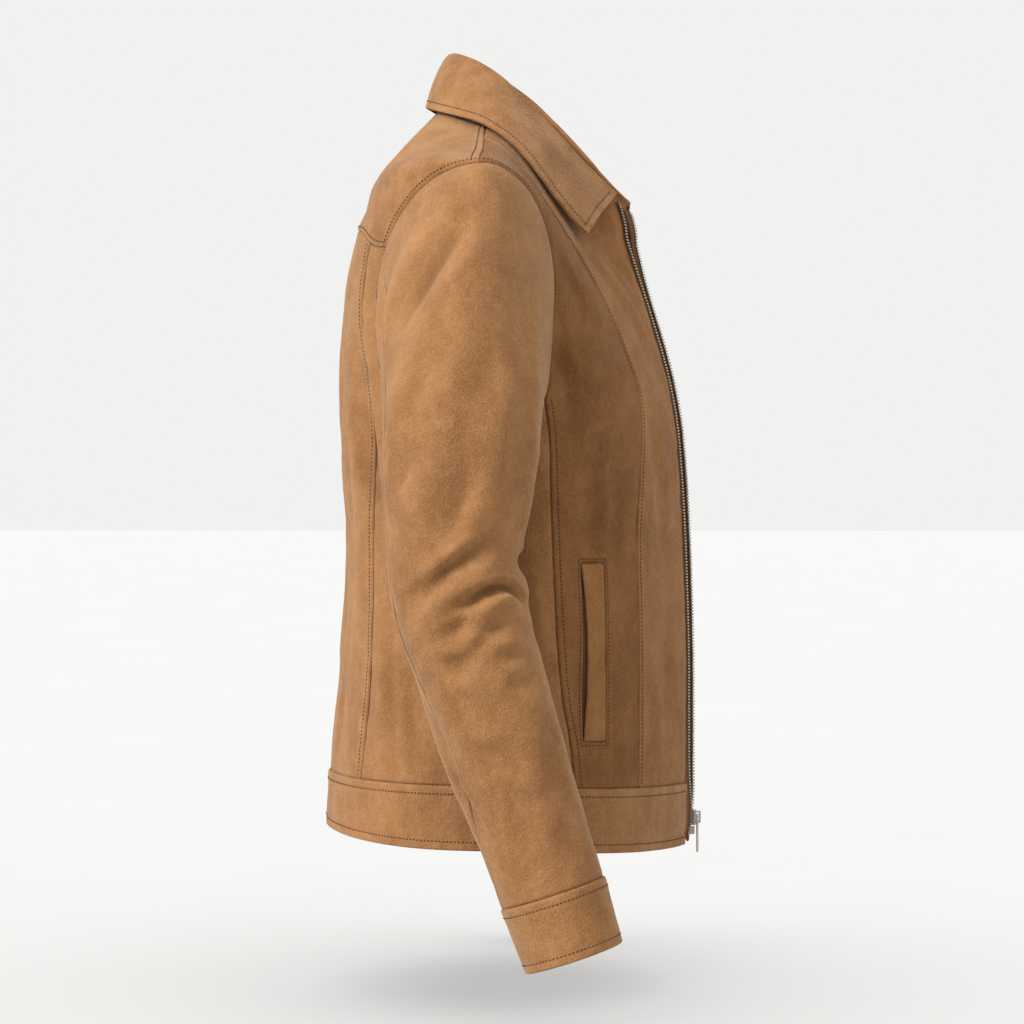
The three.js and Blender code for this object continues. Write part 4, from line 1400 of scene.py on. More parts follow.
@dataclass(frozen=True)
class SuedeFinish:
    """Suede with a soft nap: brushed patches and fine streaks, with a painted highlight on its
    ridges and painted shade in its grooves.
    """

    name: str
    base: tuple[int, int, int] = (141, 97, 58)
    light: tuple[int, int, int] = (165, 121, 79)
    dark: tuple[int, int, int] = (112, 72, 40)
    # seam is the colour that the painted shading darkens grooves and fold troughs towards: painted
    # shade, and at the seams themselves partly a dark joint.
    seam: tuple[int, int, int] = (62, 37, 19)
    sheen: float = 0.34
    nap: float = 1.0

    def material(self) -> Material:
        """Builds the material.

        Returns:
            The material.
        """
        nodes = NodeTree(self.name)
        patches = nodes.spread(nodes.noise(11, 3, (1, 1, 0.8)), 0.36, 0.64)
        brushed = nodes.spread(nodes.noise(42, 5, (1, 1, 0.8), 0.65), 0.38, 0.66)
        mottle = nodes.spread(nodes.noise(150, 3, (1, 1, 1), 0.6), 0.36, 0.66)
        grain = nodes.noise(700, 3, (1, 1, 1), 0.6)
        fibre = nodes.noise(1500, 2, (1, 1, 0.6), 0.6)
        colour = nodes.mix(patches, linear(*self.dark), linear(*self.base))
        colour = nodes.mix(nodes.maths("MULTIPLY", brushed, 0.6), colour, linear(*self.light))
        colour = nodes.mix(nodes.spread(mottle, 0, 1, 0, 0.28), colour, linear(*self.dark))
        colour = nodes.mix(nodes.spread(grain, 0.5, 0.68, 0, 0.42), colour, linear(*self.light))
        colour = nodes.mix(nodes.spread(grain, 0.5, 0.32, 0, 0.42), colour, linear(*self.dark))
        colour = nodes.mix(nodes.spread(fibre, 0.3, 0.7, 0, 0.25), colour, linear(*self.light))
        tone = nodes.tone()
        # Painted highlight: the light colour where the cloth's height is raised, on ridges and
        # lapped seam edges.
        colour = nodes.mix(nodes.spread(tone, 0.05, 0.7, 0, 0.55), colour, linear(*self.light))
        # Painted shade: the seam colour in seam and stitch grooves and fold troughs; at the seams
        # partly a dark joint.
        colour = nodes.mix(nodes.spread(tone, -0.12, -0.6, 0, 0.8), colour, linear(*self.seam))
        nodes.shade("Base Color", colour)
        nodes.shade("Roughness", nodes.spread(mottle, 0, 1, 0.86, 0.98))
        nodes.shade("Specular IOR Level", 0.12)
        nodes.shade("Sheen Weight", self.sheen)
        nodes.shade("Sheen Roughness", 0.35)
        nodes.shade("Sheen Tint", (*linear(246, 226, 196), 1))
        height = nodes.maths(
            "ADD", nodes.maths("MULTIPLY", grain, 0.8 * self.nap),
            nodes.maths("MULTIPLY", mottle, 0.25)
        )
        height = nodes.maths("ADD", height, nodes.maths("MULTIPLY", fibre, 0.25 * self.nap))
        nodes.bump(height, 0.0013, 0.75)
        return nodes.material


@dataclass(frozen=True)
class WovenFinish:
    """Plain dark woven cloth, as in the zip's tape and the pocket bags."""

    name: str
    colour: tuple[int, int, int]
    thread: float = 900.0

    def material(self) -> Material:
        """Builds the material.

        Returns:
            The material.
        """
        nodes = NodeTree(self.name)
        waves = []
        for axis in ("X", "Z"):
            wave = nodes.node("ShaderNodeTexWave", wave_type="BANDS", bands_direction=axis)
            wave.inputs["Scale"].default_value = self.thread
            wave.inputs["Distortion"].default_value = 0.6
            nodes.link(nodes.place, wave.inputs["Vector"])
            waves.append(wave.outputs["Fac"])
        weave = nodes.maths("MULTIPLY", *waves)
        uneven = nodes.noise(220, 3)
        pale = tuple(min(255, c + 26) for c in self.colour)
        colour = nodes.mix(nodes.spread(weave, 0, 1, 0.1, 0.8), linear(*self.colour), linear(*pale))
        colour = nodes.mix(nodes.spread(uneven, 0.3, 0.7, 0, 0.35), colour, linear(*self.colour))
        nodes.shade("Base Color", colour)
        nodes.shade("Roughness", 0.85)
        nodes.shade("Specular IOR Level", 0.25)
        nodes.bump(weave, 0.0003, 0.6)
        return nodes.material


@dataclass(frozen=True)
class ThreadFinish:
    """Dull twisted sewing thread."""

    name: str
    colour: tuple[int, int, int] = (52, 30, 15)

    def material(self) -> Material:
        """Builds the material.

        Returns:
            The material.
        """
        nodes = NodeTree(self.name)
        twist = nodes.noise(2600, 2)
        lighter = tuple(c + 14 for c in self.colour)
        colour = nodes.mix(nodes.spread(twist, 0.35, 0.65), linear(*self.colour), linear(*lighter))
        nodes.shade("Base Color", colour)
        nodes.shade("Roughness", 0.6)
        nodes.bump(twist, 0.0001, 0.5)
        return nodes.material


@dataclass(frozen=True)
class MetalFinish:
    """Nickel-plated zip metal with fine scuffs."""

    name: str
    colour: tuple[int, int, int] = (190, 182, 168)
    roughness: float = 0.3

    def material(self) -> Material:
        """Builds the material.

        Returns:
            The material.
        """
        nodes = NodeTree(self.name)
        scuffs = nodes.noise(900, 4)
        dull = tuple(int(c * 0.72) for c in self.colour)
        colour = nodes.mix(nodes.spread(scuffs, 0.35, 0.7), linear(*self.colour), linear(*dull))
        nodes.shade("Base Color", colour)
        nodes.shade("Metallic", 1.0)
        nodes.shade(
            "Roughness",
            nodes.spread(scuffs, 0.3, 0.7, self.roughness - 0.06, self.roughness + 0.12)
        )
        nodes.bump(scuffs, 0.00005, 0.4)
        return nodes.material


@dataclass
class Wardrobe:
    """The finishes that the jacket's pieces share."""

    suede: Material = field(init=False)
    # front and side hold darker copies of the suede: painted shade for the front panels.
    front: Material = field(init=False)
    side: Material = field(init=False)
    flesh: Material = field(init=False)
    lining: Material = field(init=False)
    tape: Material = field(init=False)
    thread: Material = field(init=False)
    metal: Material = field(init=False)

    def __post_init__(self) -> None:
        """Builds the materials."""
        self.suede = SuedeFinish("suede_nap").material()
        # Darker copies of the suede with less sheen: painted shade for the front, which faces away
        # from the key light, and for the sleeve's shadow on the front side panels.
        self.front = SuedeFinish(
            "suede_front", (137, 93, 54), (158, 113, 73), (110, 71, 38), sheen=0.2
        ).material()
        self.side = SuedeFinish(
            "suede_front_side", (123, 82, 46), (142, 99, 61), (95, 60, 32), sheen=0.14
        ).material()
        self.flesh = SuedeFinish(
            "suede_flesh_side", (112, 76, 46), (130, 91, 57), (86, 57, 34), (60, 37, 20), 0.3, 1.4
        ).material()
        self.lining = WovenFinish("pocket_cloth", (88, 58, 36)).material()
        self.tape = WovenFinish("zip_tape_cloth", (112, 76, 46), 1100).material()
        self.thread = ThreadFinish("sewing_thread").material()
        self.metal = MetalFinish("zip_nickel").material()


# Sewing


@dataclass(frozen=True)
class Sewing:
    """Rows of single stitches, each a small bead of thread that dips at both ends."""

    pitch: float = 3.0
    length: float = 1.95
    radius: float = 0.55
    sides: int = 5

    def beads(self, points: Array, normals: Array) -> Line:
        """Centres, directions and normals become beads of 3 rings and 2 tips.

        Args:
            points: Line that the stitches follow, in millimetres.
            normals: Outward directions along it.

        Returns:
            Vertices, as beads by vertices by 3, and the triangles of one bead.
        """
        length = lengths_along(points)
        count = max(1, int(length[-1] / self.pitch))
        middle = (np.arange(count) + 0.5) * length[-1] / count

        along = unit(
            values_at(middle + 0.4, length, points) - values_at(middle - 0.4, length, points)
        )
        up = values_at(middle, length, normals)
        up = unit(up - along * np.sum(up * along, axis=-1, keepdims=True))
        beside = np.cross(along, up)
        centre = values_at(middle, length, points)
        rows = [(-0.36, 0.8, 0.1), (0.0, 1.0, 0.2), (0.36, 0.8, 0.1)]
        made = [centre - along * self.length / 2 - up * 0.25]
        for place, size, lift in rows:
            for k in range(self.sides):
                turn = 2 * math.pi * k / self.sides
                ring = beside * math.cos(turn) + up * math.sin(turn) * 0.85
                made.append(
                    centre + along * self.length * place + up * lift + ring * self.radius * size
                )
        made.append(centre + along * self.length / 2 - up * 0.25)
        return np.stack(made, axis=1), self._triangles(len(rows))

    def _triangles(self, rings: int) -> Array:
        """Triangles of one bead.

        Args:
            rings: Rings between its tips.

        Returns:
            Vertex numbers of each triangle.
        """
        n, faces = self.sides, []
        last = 1 + rings * n
        for k in range(n):
            after = (k + 1) % n
            faces.append((0, 1 + after, 1 + k))
            faces.append((last, last - n + k, last - n + after))
            for r in range(rings - 1):
                a, b = 1 + r * n + k, 1 + r * n + after
                faces += [(a, b, b + n), (a, b + n, a + n)]
        return np.array(faces)

    def sew(self, name: str, lines: Sequence[Line], thread: Material) -> Piece:
        """Makes one object of all stitches on the lines.

        Args:
            name: Name of the object.
            lines: Points and normals of each line.
            thread: The thread's material.

        Returns:
            The new object.
        """
        vertices, faces, start = [], [], 0
        for points, normals in lines:
            beads, triangles = self.beads(points, normals)
            offsets = start + np.arange(len(beads))[:, None, None] * beads.shape[1]
            faces.append((triangles[None] + offsets).reshape(-1, 3))
            vertices.append(beads.reshape(-1, 3))
            start += beads.shape[0] * beads.shape[1]
        return mesh_object(name, np.vstack(vertices) * MM, np.vstack(faces), [thread])


SEWING = Sewing()


def dress(piece: Piece, node: str | None, body: str = JACKET) -> None:
    """Hangs a piece on a body."""
    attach(piece, body)
    if node:
        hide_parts(node)


class Held(Enum):
    """How a sheet is held in its place."""

    HUNG = "hung"
    FOLDED = "folded"


def declare(cloth: Cloth, held: Held) -> None:
    """Works out the flat size of a sheet, which nothing then uses.

    Args:
        cloth: The panel that it was built from.
        held: Not used.
    """
    width, length, area = cloth.flat()


# Sub-assemblies


@dataclass
class BodyPanels:
    """The panels of the jacket's body, with their pockets, waistband and stitch rows."""

    pattern: Pattern
    wardrobe: Wardrobe
    cell: float = 3.6
    princess_stitch: float = 4.5
    side_stitch: float = 6.0
    back_stitch: float = 4.6
    shoulder_stitch: float = 6.0
    armhole_stitch: float = 3.8
    front_crease: float = 8.4
    band_stitch: float = 6.5
    window: tuple[float, float] = (0.45, 0.71)
    pocket_front: float = 46.1
    pocket_rear: float = 54.4
    pocket_top: float = -344.0
    pocket_bottom: float = -480.0
    pocket_slit: float = 1.5
    pocket_frame: float = 3.0
    frame_rise: float = 0.15
    cloths: dict[str, Cloth] = field(default_factory=dict)

    def _cloth(
        self, name: str, places: Array, u: Array, v: Array, edges: dict, **options: object
    ) -> Cloth:
        """A panel on the body.

        Args:
            name: The panel's node.
            places: Angle and level of each row and column.
            u: Shares of the columns.
            v: Shares of the rows.
            edges: Finishes of the sides.
            options: Other values of the cloth.

        Returns:
            The panel.
        """
        angle, level = places[..., 0], places[..., 1]
        made = Cloth(
            name=name, points=BODY.point(angle, level), normals=BODY.outward(angle, level),
            relief=BODY_FOLDS.relief(angle, level), u=u, v=v, edges=edges,
            seed=sum(map(ord, name)), **options,
        )
        self.cloths[name] = made
        return made

    def _pair(
        self, name: str, places: Array, u: Array, v: Array, edges: dict, **options: object
    ) -> None:
        """A panel and the one opposite it."""
        self._cloth(f"{name}_right", places, u, v, edges, **options)
        self._cloth(f"{name}_left", places * [-1, 1] + [360, 0], u, v, edges, **options)

    def front_centre(self) -> None:
        """Front panels beside the zip."""
        p = self.pattern
        u, v = shares(78, self.cell), shares(640, self.cell)
        top = joined((p.neck_front, 4), (p.shoulder_inner, 2))
        places = patch(top, p.band_centre, p.front, p.princess, u, v, 6)
        self._pair("front_centre", places, u, v, {
            Side.LEFT: (EdgeFinish(EdgeKind.FREE, crease=self.front_crease),),
            Side.RIGHT: (EdgeFinish(EdgeKind.LAPPED, self.princess_stitch),),
            Side.TOP: (
                EdgeFinish(EdgeKind.HIDDEN, 0, 0, 0.667, anchored=True),
                EdgeFinish(EdgeKind.SEAM, 0, 0.667)
            ),
            Side.BOTTOM: (SEAM,),
        })

    def front_side(self) -> None:
        """Front side panels with the pocket's window."""
        p, corner = self.pattern, 7 / 18
        u = shares(105, self.cell, self.window)
        v = shares(600, self.cell)
        right = joined((p.armhole_front, 7), (p.side, 11))
        places = patch(p.shoulder_outer, p.band_front, p.princess, right, u, v)
        columns = [int(np.argmin(np.abs(u - share))) for share in self.window]
        middle = places[:, (columns[0] + columns[1]) // 2, 1]
        rows = [
            int(np.argmin(np.abs(middle - level)))
            for level in (self.pocket_top, self.pocket_bottom)
        ]
        places = self._with_window(places, rows, columns)
        cut = np.zeros((len(v) - 1, len(u) - 1), dtype=bool)
        cut[rows[0]:rows[1], columns[0]:columns[1]] = True
        self._pair("front_side", places, u, v, {
            Side.LEFT: (SEAM,),
            Side.RIGHT: (
                EdgeFinish(EdgeKind.LAPPED, self.armhole_stitch, 0, corner - 0.13, anchored=True),
                EdgeFinish(EdgeKind.SEAM, 0, corner - 0.13, corner, anchored=True),
                EdgeFinish(EdgeKind.LAPPED, self.side_stitch, corner, 1),
            ),
            Side.TOP: (SEAM,),
            Side.BOTTOM: (SEAM,),
        }, cut=cut, extra=self._window_height(places))

    def _window_height(self, places: Array) -> Array:
        """Height of the pressed edge round the pocket's window."""
        beside = np.maximum(self.pocket_front - places[..., 0], places[..., 0] - self.pocket_rear)
        beyond = np.maximum(places[..., 1] - self.pocket_top, self.pocket_bottom - places[..., 1])
        away = np.hypot(np.maximum(beside * BODY_DEGREE, 0), np.maximum(beyond, 0))
        raised = soft(away / 1.4) * (1 - soft((away - self.pocket_frame) / 3.0))
        stitched = 0.3 * bell((away - self.pocket_frame) / 1.0)
        return 0.45 * raised - 0.75 * bell(away / 0.9) - stitched

    def _with_window(self, places: Array, rows: Sequence[int], columns: Sequence[int]) -> Array:
        """Places moved so that the window's sides lie on rows and columns.

        Args:
            places: Angle and level of each row and column.
            rows: The window's first and last row.
            columns: The window's first and last column.

        Returns:
            The moved places.
        """
        made = places.copy()
        index, first, last = np.arange(len(places)), rows[0], rows[1]
        near = 1 - soft(np.maximum(first - index, index - last) / 14)
        wanted = (self.pocket_front, self.pocket_rear)
        marks = [0, *columns, places.shape[1] - 1]
        for i in np.flatnonzero(near > 0):
            angles = places[i, :, 0]
            target = [angles[0], *wanted, angles[-1]]
            moved = np.interp(angles, angles[marks], target)
            made[i, :, 0] = angles + (moved - angles) * near[i]
        column = np.arange(places.shape[1])
        beside = 1 - soft(np.maximum(columns[0] - column, column - columns[1]) / 8)
        share = (index - first) / (last - first)
        level = self.pocket_top + (self.pocket_bottom - self.pocket_top) * share
        shift = (level[:, None] - places[..., 1]) * near[:, None] * beside[None]
        made[..., 1] += np.where((near > 0)[:, None], shift, 0)
        return made

    def side_panel(self) -> None:
        """Side-back panels under the arms."""
        p = self.pattern
        u, v = shares(205, self.cell), shares(330, self.cell)
        top = joined((p.armhole_under, 10), (p.yoke_side, 1))
        places = patch(top, p.band_side, p.side, p.back, u, v)
        self._pair("side_panel", places, u, v, {
            Side.LEFT: (SEAM,), Side.RIGHT: (SEAM,), Side.BOTTOM: (SEAM,),
            Side.TOP: (
                EdgeFinish(EdgeKind.SEAM, 0, 0, 0.6, anchored=True),
                EdgeFinish(EdgeKind.LAPPED, self.armhole_stitch, 0.6, 0.909, anchored=True),
                EdgeFinish(EdgeKind.SEAM, 0, 0.909, 1),
            ),
        })

    def back_centre(self) -> None:
        """The centre back panel."""
        p = self.pattern
        u, v = shares(290, self.cell), shares(420, self.cell)
        top = joined((p.yoke_back, 1), (backwards(mirrored(p.yoke_back)), 1))
        places = patch(top, p.band_back, p.back, mirrored(p.back), u, v)
        stitched = (EdgeFinish(EdgeKind.LAPPED, self.back_stitch),)
        self._cloth("back_centre", places, u, v, {
            Side.LEFT: stitched, Side.RIGHT: stitched, Side.TOP: (SEAM,), Side.BOTTOM: (SEAM,),
        })

    def yoke(self) -> None:
        """The back yoke with both shoulders."""
        p = self.pattern
        u, v = shares(430, self.cell), shares(110, self.cell)
        up = backwards(joined((p.shoulder_inner, 2), (p.shoulder_outer, 5)))
        top = joined((up, 7), (p.neck_back, 4), (backwards(mirrored(up)), 7))
        side = joined((p.yoke_side, 1), (p.yoke_back, 8))
        bottom = joined((side, 9), (backwards(mirrored(side)), 9))
        left = backwards(p.armhole_back)
        places = patch(top, bottom, left, mirrored(left), u, v, 1)
        stitched = (EdgeFinish(EdgeKind.LAPPED, self.armhole_stitch, anchored=True),)
        self._cloth("yoke_back", places, u, v, {
            Side.LEFT: stitched, Side.RIGHT: stitched,
            Side.TOP: (
                EdgeFinish(EdgeKind.LAPPED, self.shoulder_stitch, 0, 7 / 18),
                EdgeFinish(EdgeKind.HIDDEN, 0, 7 / 18, 11 / 18, anchored=True),
                EdgeFinish(EdgeKind.LAPPED, self.shoulder_stitch, 11 / 18, 1),
            ),
            Side.BOTTOM: (EdgeFinish(EdgeKind.LAPPED, self.back_stitch),),
        })

    def waistband(self) -> None:
        """The strip round the hem."""
        p = self.pattern
        half = joined((p.band_centre, 6), (p.band_front, 5), (p.band_side, 11))
        run = joined((half, 22), (p.band_back, 16), (backwards(mirrored(half)), 22))
        u, v = shares(1010, 3.2), shares(46, 3.2)
        top = run(u)
        rows = []
        for share in v:
            level = BAND_TOP + (HEM - BAND_TOP) * share
            start = float(BODY.front_angle(level))
            from_edge = 180 - np.abs(180 - top[:, 0]) - p.feet[0]
            near = np.clip(1 - from_edge / 20, 0, 1)
            shift = (start - p.feet[0]) * near * np.sign(180 - top[:, 0])
            rows.append(np.stack([top[:, 0] + shift, np.full(len(u), level)], axis=-1))
        places = np.stack(rows)
        self._cloth("waistband", places, u, v, {
            Side.TOP: (EdgeFinish(EdgeKind.LAPPED, self.band_stitch, trim=4),),
            Side.BOTTOM: (EdgeFinish(EdgeKind.FREE, self.band_stitch, trim=4),),
            Side.LEFT: (EdgeFinish(EdgeKind.FREE, 4.0, trim=9),),
            Side.RIGHT: (EdgeFinish(EdgeKind.FREE, 4.0, trim=9),),
        }, wall=2.6, lift=0.5)

    def pockets(self) -> None:
        """The welts in their windows, and the bags behind them."""
        u, v = shares(24, 2.4), shares(136, 3.2)
        rear = self.pocket_rear - 0.12 - self.pocket_slit * np.sin(np.pi * v) ** 0.7
        angle = self.pocket_front + (rear[:, None] - self.pocket_front) * u[None, :]
        level = self.pocket_top + (self.pocket_bottom - self.pocket_top) * v
        places = np.stack(np.broadcast_arrays(angle, level[:, None]), axis=-1)
        self._pair("pocket_welt", places, u, v, {
            Side.LEFT: (SEAM,), Side.TOP: (SEAM,), Side.BOTTOM: (SEAM,),
            Side.RIGHT: (FREE,),
        }, wall=2.2, lift=0.2)
        angle = self.pocket_front - 3 + (self.pocket_rear - self.pocket_front + 6) * u
        level = self.pocket_top + 9 + (self.pocket_bottom - self.pocket_top - 18) * v
        places = np.stack(np.broadcast_arrays(angle[None, :], level[:, None]), axis=-1)
        self._pair(
            "pocket_bag", places, u, v, {side: (HIDDEN,) for side in Side}, wall=1.2, lift=-2.8
        )

    def pocket_lines(self, mirror: bool) -> list[Line]:
        """The stitched frame round one pocket's window, as four straight runs.

        Args:
            mirror: Whether it is the left pocket.

        Returns:
            Points and normals of each run.
        """
        turn = self.pocket_frame / BODY_DEGREE
        front, rear = self.pocket_front - turn, self.pocket_rear + turn
        top, bottom = self.pocket_top + self.pocket_frame, self.pocket_bottom - self.pocket_frame
        corners = [(front, top), (rear, top), (rear, bottom), (front, bottom), (front, top)]
        cloth = self.cloths["front_side_left" if mirror else "front_side_right"]
        share = np.linspace(0, 1, 40)[:, None]
        lines = []
        for start, end in zip(corners[:-1], corners[1:]):
            places = np.array(start) * (1 - share) + np.array(end) * share
            angle = 360 - places[:, 0] if mirror else places[:, 0]
            normals = BODY.outward(angle, places[:, 1])
            height = BODY_FOLDS.relief(angle, places[:, 1])
            points = BODY.point(angle, places[:, 1])
            height += unevenness(points, cloth.seed)
            lines.append((points + normals * (height + self.frame_rise)[:, None], normals))
        return lines

    def build(self) -> None:
        """Builds all the panels, then sews them."""
        for make in (
            self.front_centre, self.front_side, self.side_panel, self.back_centre, self.yoke,
            self.waistband, self.pockets,
        ):
            make()
        w = self.wardrobe
        rests = {
            "front_side": "front_centre", "side_panel": "back_centre", "back_centre": "yoke_back",
            "front_centre": "yoke_back", "waistband": "back_centre", "pocket_bag": "front_side",
            "pocket_welt": "front_side",
        }
        for name, cloth in self.cloths.items():
            lining = name.startswith("pocket_bag")
            # The front panels and welts take the darker suede copies, which paint shade onto them.
            face = {"front_centre": w.front, "front_side": w.side, "pocket_welt": w.front}
            nap = face.get(name.rpartition("_")[0], w.suede)
            piece = cloth.build([w.lining] if lining else [nap, w.flesh])
            dress(piece, name)
            kind, _, side = name.rpartition("_")
            held_by = rests.get(name) or rests.get(kind)
            if held_by and held_by not in ("yoke_back", "back_centre"):
                held_by = f"{held_by}_{side}"
            declare(cloth, Held.HUNG)
        for side in ("right", "left"):
            sewn = [cloth for name, cloth in self.cloths.items() if name.endswith(side)]
            lines = [line for cloth in sewn for line in cloth.stitch_lines()]
            lines += self.pocket_lines(side == "left")
            dress(SEWING.sew(f"stitches_body_{side}", lines, w.thread), None)
        sewn = [self.cloths[name] for name in ("back_centre", "yoke_back", "waistband")]
        lines = [line for cloth in sewn for line in cloth.stitch_lines()]
        dress(SEWING.sew("stitches_back_band", lines, w.thread), None)
        LOG.info("body: %d panels, with pockets and waistband", len(self.cloths))


@dataclass
class SleevePair:
    """Both sleeves, each a top and an under panel with a cuff."""

    pattern: Pattern
    wardrobe: Wardrobe
    cell: float = 3.4
    cuff_top: float = 328.0
    cuff_end: float = 377.0
    cuff_stitch: float = 6.5

    def _cloth(
        self, name: str, sleeve: Sleeve, turns: Array, stations: Array, edges: dict,
        **options: object
    ) -> Cloth:
        """A panel of a sleeve.

        Args:
            name: The panel's node.
            sleeve: The sleeve that it lies on.
            turns: Turns of the columns.
            stations: Distances of the rows below the bicep line.
            edges: Finishes of the sides.
            options: Other values of the cloth.

        Returns:
            The panel.
        """
        turn, along = np.broadcast_arrays(turns[None, :], stations[:, None])
        near = np.where(turn > 225, turn - 360, turn)
        creases = LEFT_SLEEVE_FOLDS if name.endswith("left") else SLEEVE_FOLDS
        relief = sleeve.pose.folds * creases.relief(near, along)
        below = 1 - soft((along - self.cuff_top + 26) / 26) * 0.85
        relief = relief * soft((along + sleeve.cap_length) / 30) * below
        points, normals = sleeve.point(turn, along), sleeve.outward(turn, along)
        if name.endswith("left"):
            points, normals = points * [-1, 1, 1], normals * [-1, 1, 1]
        return Cloth(
            name=name, points=points, normals=normals, relief=relief,
            u=np.linspace(0, 1, len(turns)), v=(stations - stations[0]) / (
                stations[-1] - stations[0]
            ),
            edges=edges, seed=sum(map(ord, name)), **options,
        )

    def _one(self, side: str, pose: ArmPose) -> None:
        """Builds one sleeve.

        Args:
            side: The wearer's side.
            pose: How the sleeve hangs.
        """
        sleeve = Sleeve(pose, self.pattern.armhole_ring())
        front, back = self.pattern.turns
        w = self.wardrobe
        length = self.cuff_top + sleeve.cap_length
        stations = -sleeve.cap_length + length * shares(length, self.cell)
        over = back - 360 + (front - back + 360) * shares(185, self.cell)
        under = front + (back - front) * shares(145, self.cell)
        head = (EdgeFinish(EdgeKind.SEAM, anchored=True),)
        seams = {Side.LEFT: (SEAM,), Side.RIGHT: (SEAM,), Side.TOP: head, Side.BOTTOM: (SEAM,)}
        cloths = [
            self._cloth(f"sleeve_top_{side}", sleeve, over, stations, seams),
            self._cloth(f"sleeve_under_{side}", sleeve, under, stations, seams),
        ]
        cuff_rows = self.cuff_top + (self.cuff_end - self.cuff_top) * shares(49, 3.0)
        round_turns = np.linspace(0, 360, 97)[:-1]
        cloths.append(self._cloth(f"cuff_{side}", sleeve, round_turns, cuff_rows, {
            Side.TOP: (EdgeFinish(EdgeKind.LAPPED, self.cuff_stitch, trim=0),),
            Side.BOTTOM: (EdgeFinish(EdgeKind.FREE, self.cuff_stitch, trim=0),),
        }, wall=2.6, lift=0.5, around=True))
        for cloth in cloths:
            piece = cloth.build([w.suede, w.flesh])
            dress(piece, cloth.name)
            declare(cloth, Held.HUNG)
        lines = [line for cloth in cloths for line in cloth.stitch_lines()]
        dress(SEWING.sew(f"stitches_cuff_{side}", lines, w.thread), None)

    def build(self) -> None:
        """Builds both sleeves."""
        self._one("right", ARM_RIGHT)
        self._one("left", ARM_LEFT)
        LOG.info("sleeves: two, with cuffs")


@dataclass
class Collar:
    """The folded collar and the layer under its fall."""

    wardrobe: Wardrobe
    form: CollarForm = field(default_factory=CollarForm)
    wall: float = 1.6
    under_wall: float = 1.3
    gap: float = 0.3
    under_start: float = 0.76
    stitch: float = 6.0

    def build(self) -> None:
        """Builds both layers and sews the edge."""
        w = self.wardrobe
        v = shares(560, 3.2)
        station = self.form.last * (2 * v - 1)
        u = shares(105, 2.6)
        share, k = np.broadcast_arrays(u[None, :], station[:, None])
        points, normals = self.form.point(share, k), self.form.outward(share, k)
        relief = lumps(points, 55, 5) * 0.7
        edge = (EdgeFinish(EdgeKind.FREE, self.stitch, trim=5.5),)
        ends = (EdgeFinish(EdgeKind.FREE, self.stitch, 0.45, trim=5.5),)
        collar = Cloth("collar", points, normals, relief, u, v, {
            Side.LEFT: (EdgeFinish(EdgeKind.HIDDEN, anchored=True),), Side.RIGHT: edge,
            Side.TOP: ends, Side.BOTTOM: ends,
        }, wall=self.wall, seed=9)
        piece = collar.build([w.suede, w.suede])
        dress(piece, "collar")
        declare(collar, Held.FOLDED)
        start = int(np.searchsorted(u, self.under_start))
        under = Cloth(
            "under_collar", points[:, start:] - normals[:, start:] * (self.wall + self.gap),
            normals[:, start:], relief[:, start:], (u[start:] - u[start]) / (1 - u[start]), v, {
                Side.LEFT: (HIDDEN,), Side.RIGHT: (FREE,),
                Side.TOP: (FREE,), Side.BOTTOM: (FREE,),
            }, wall=self.under_wall, seed=9,
        )
        piece = under.build([w.suede, w.flesh])
        dress(piece, "under_collar")
        declare(under, Held.FOLDED)
        dress(SEWING.sew("stitches_collar", collar.stitch_lines(), w.thread), None)
        LOG.info("collar: two layers")


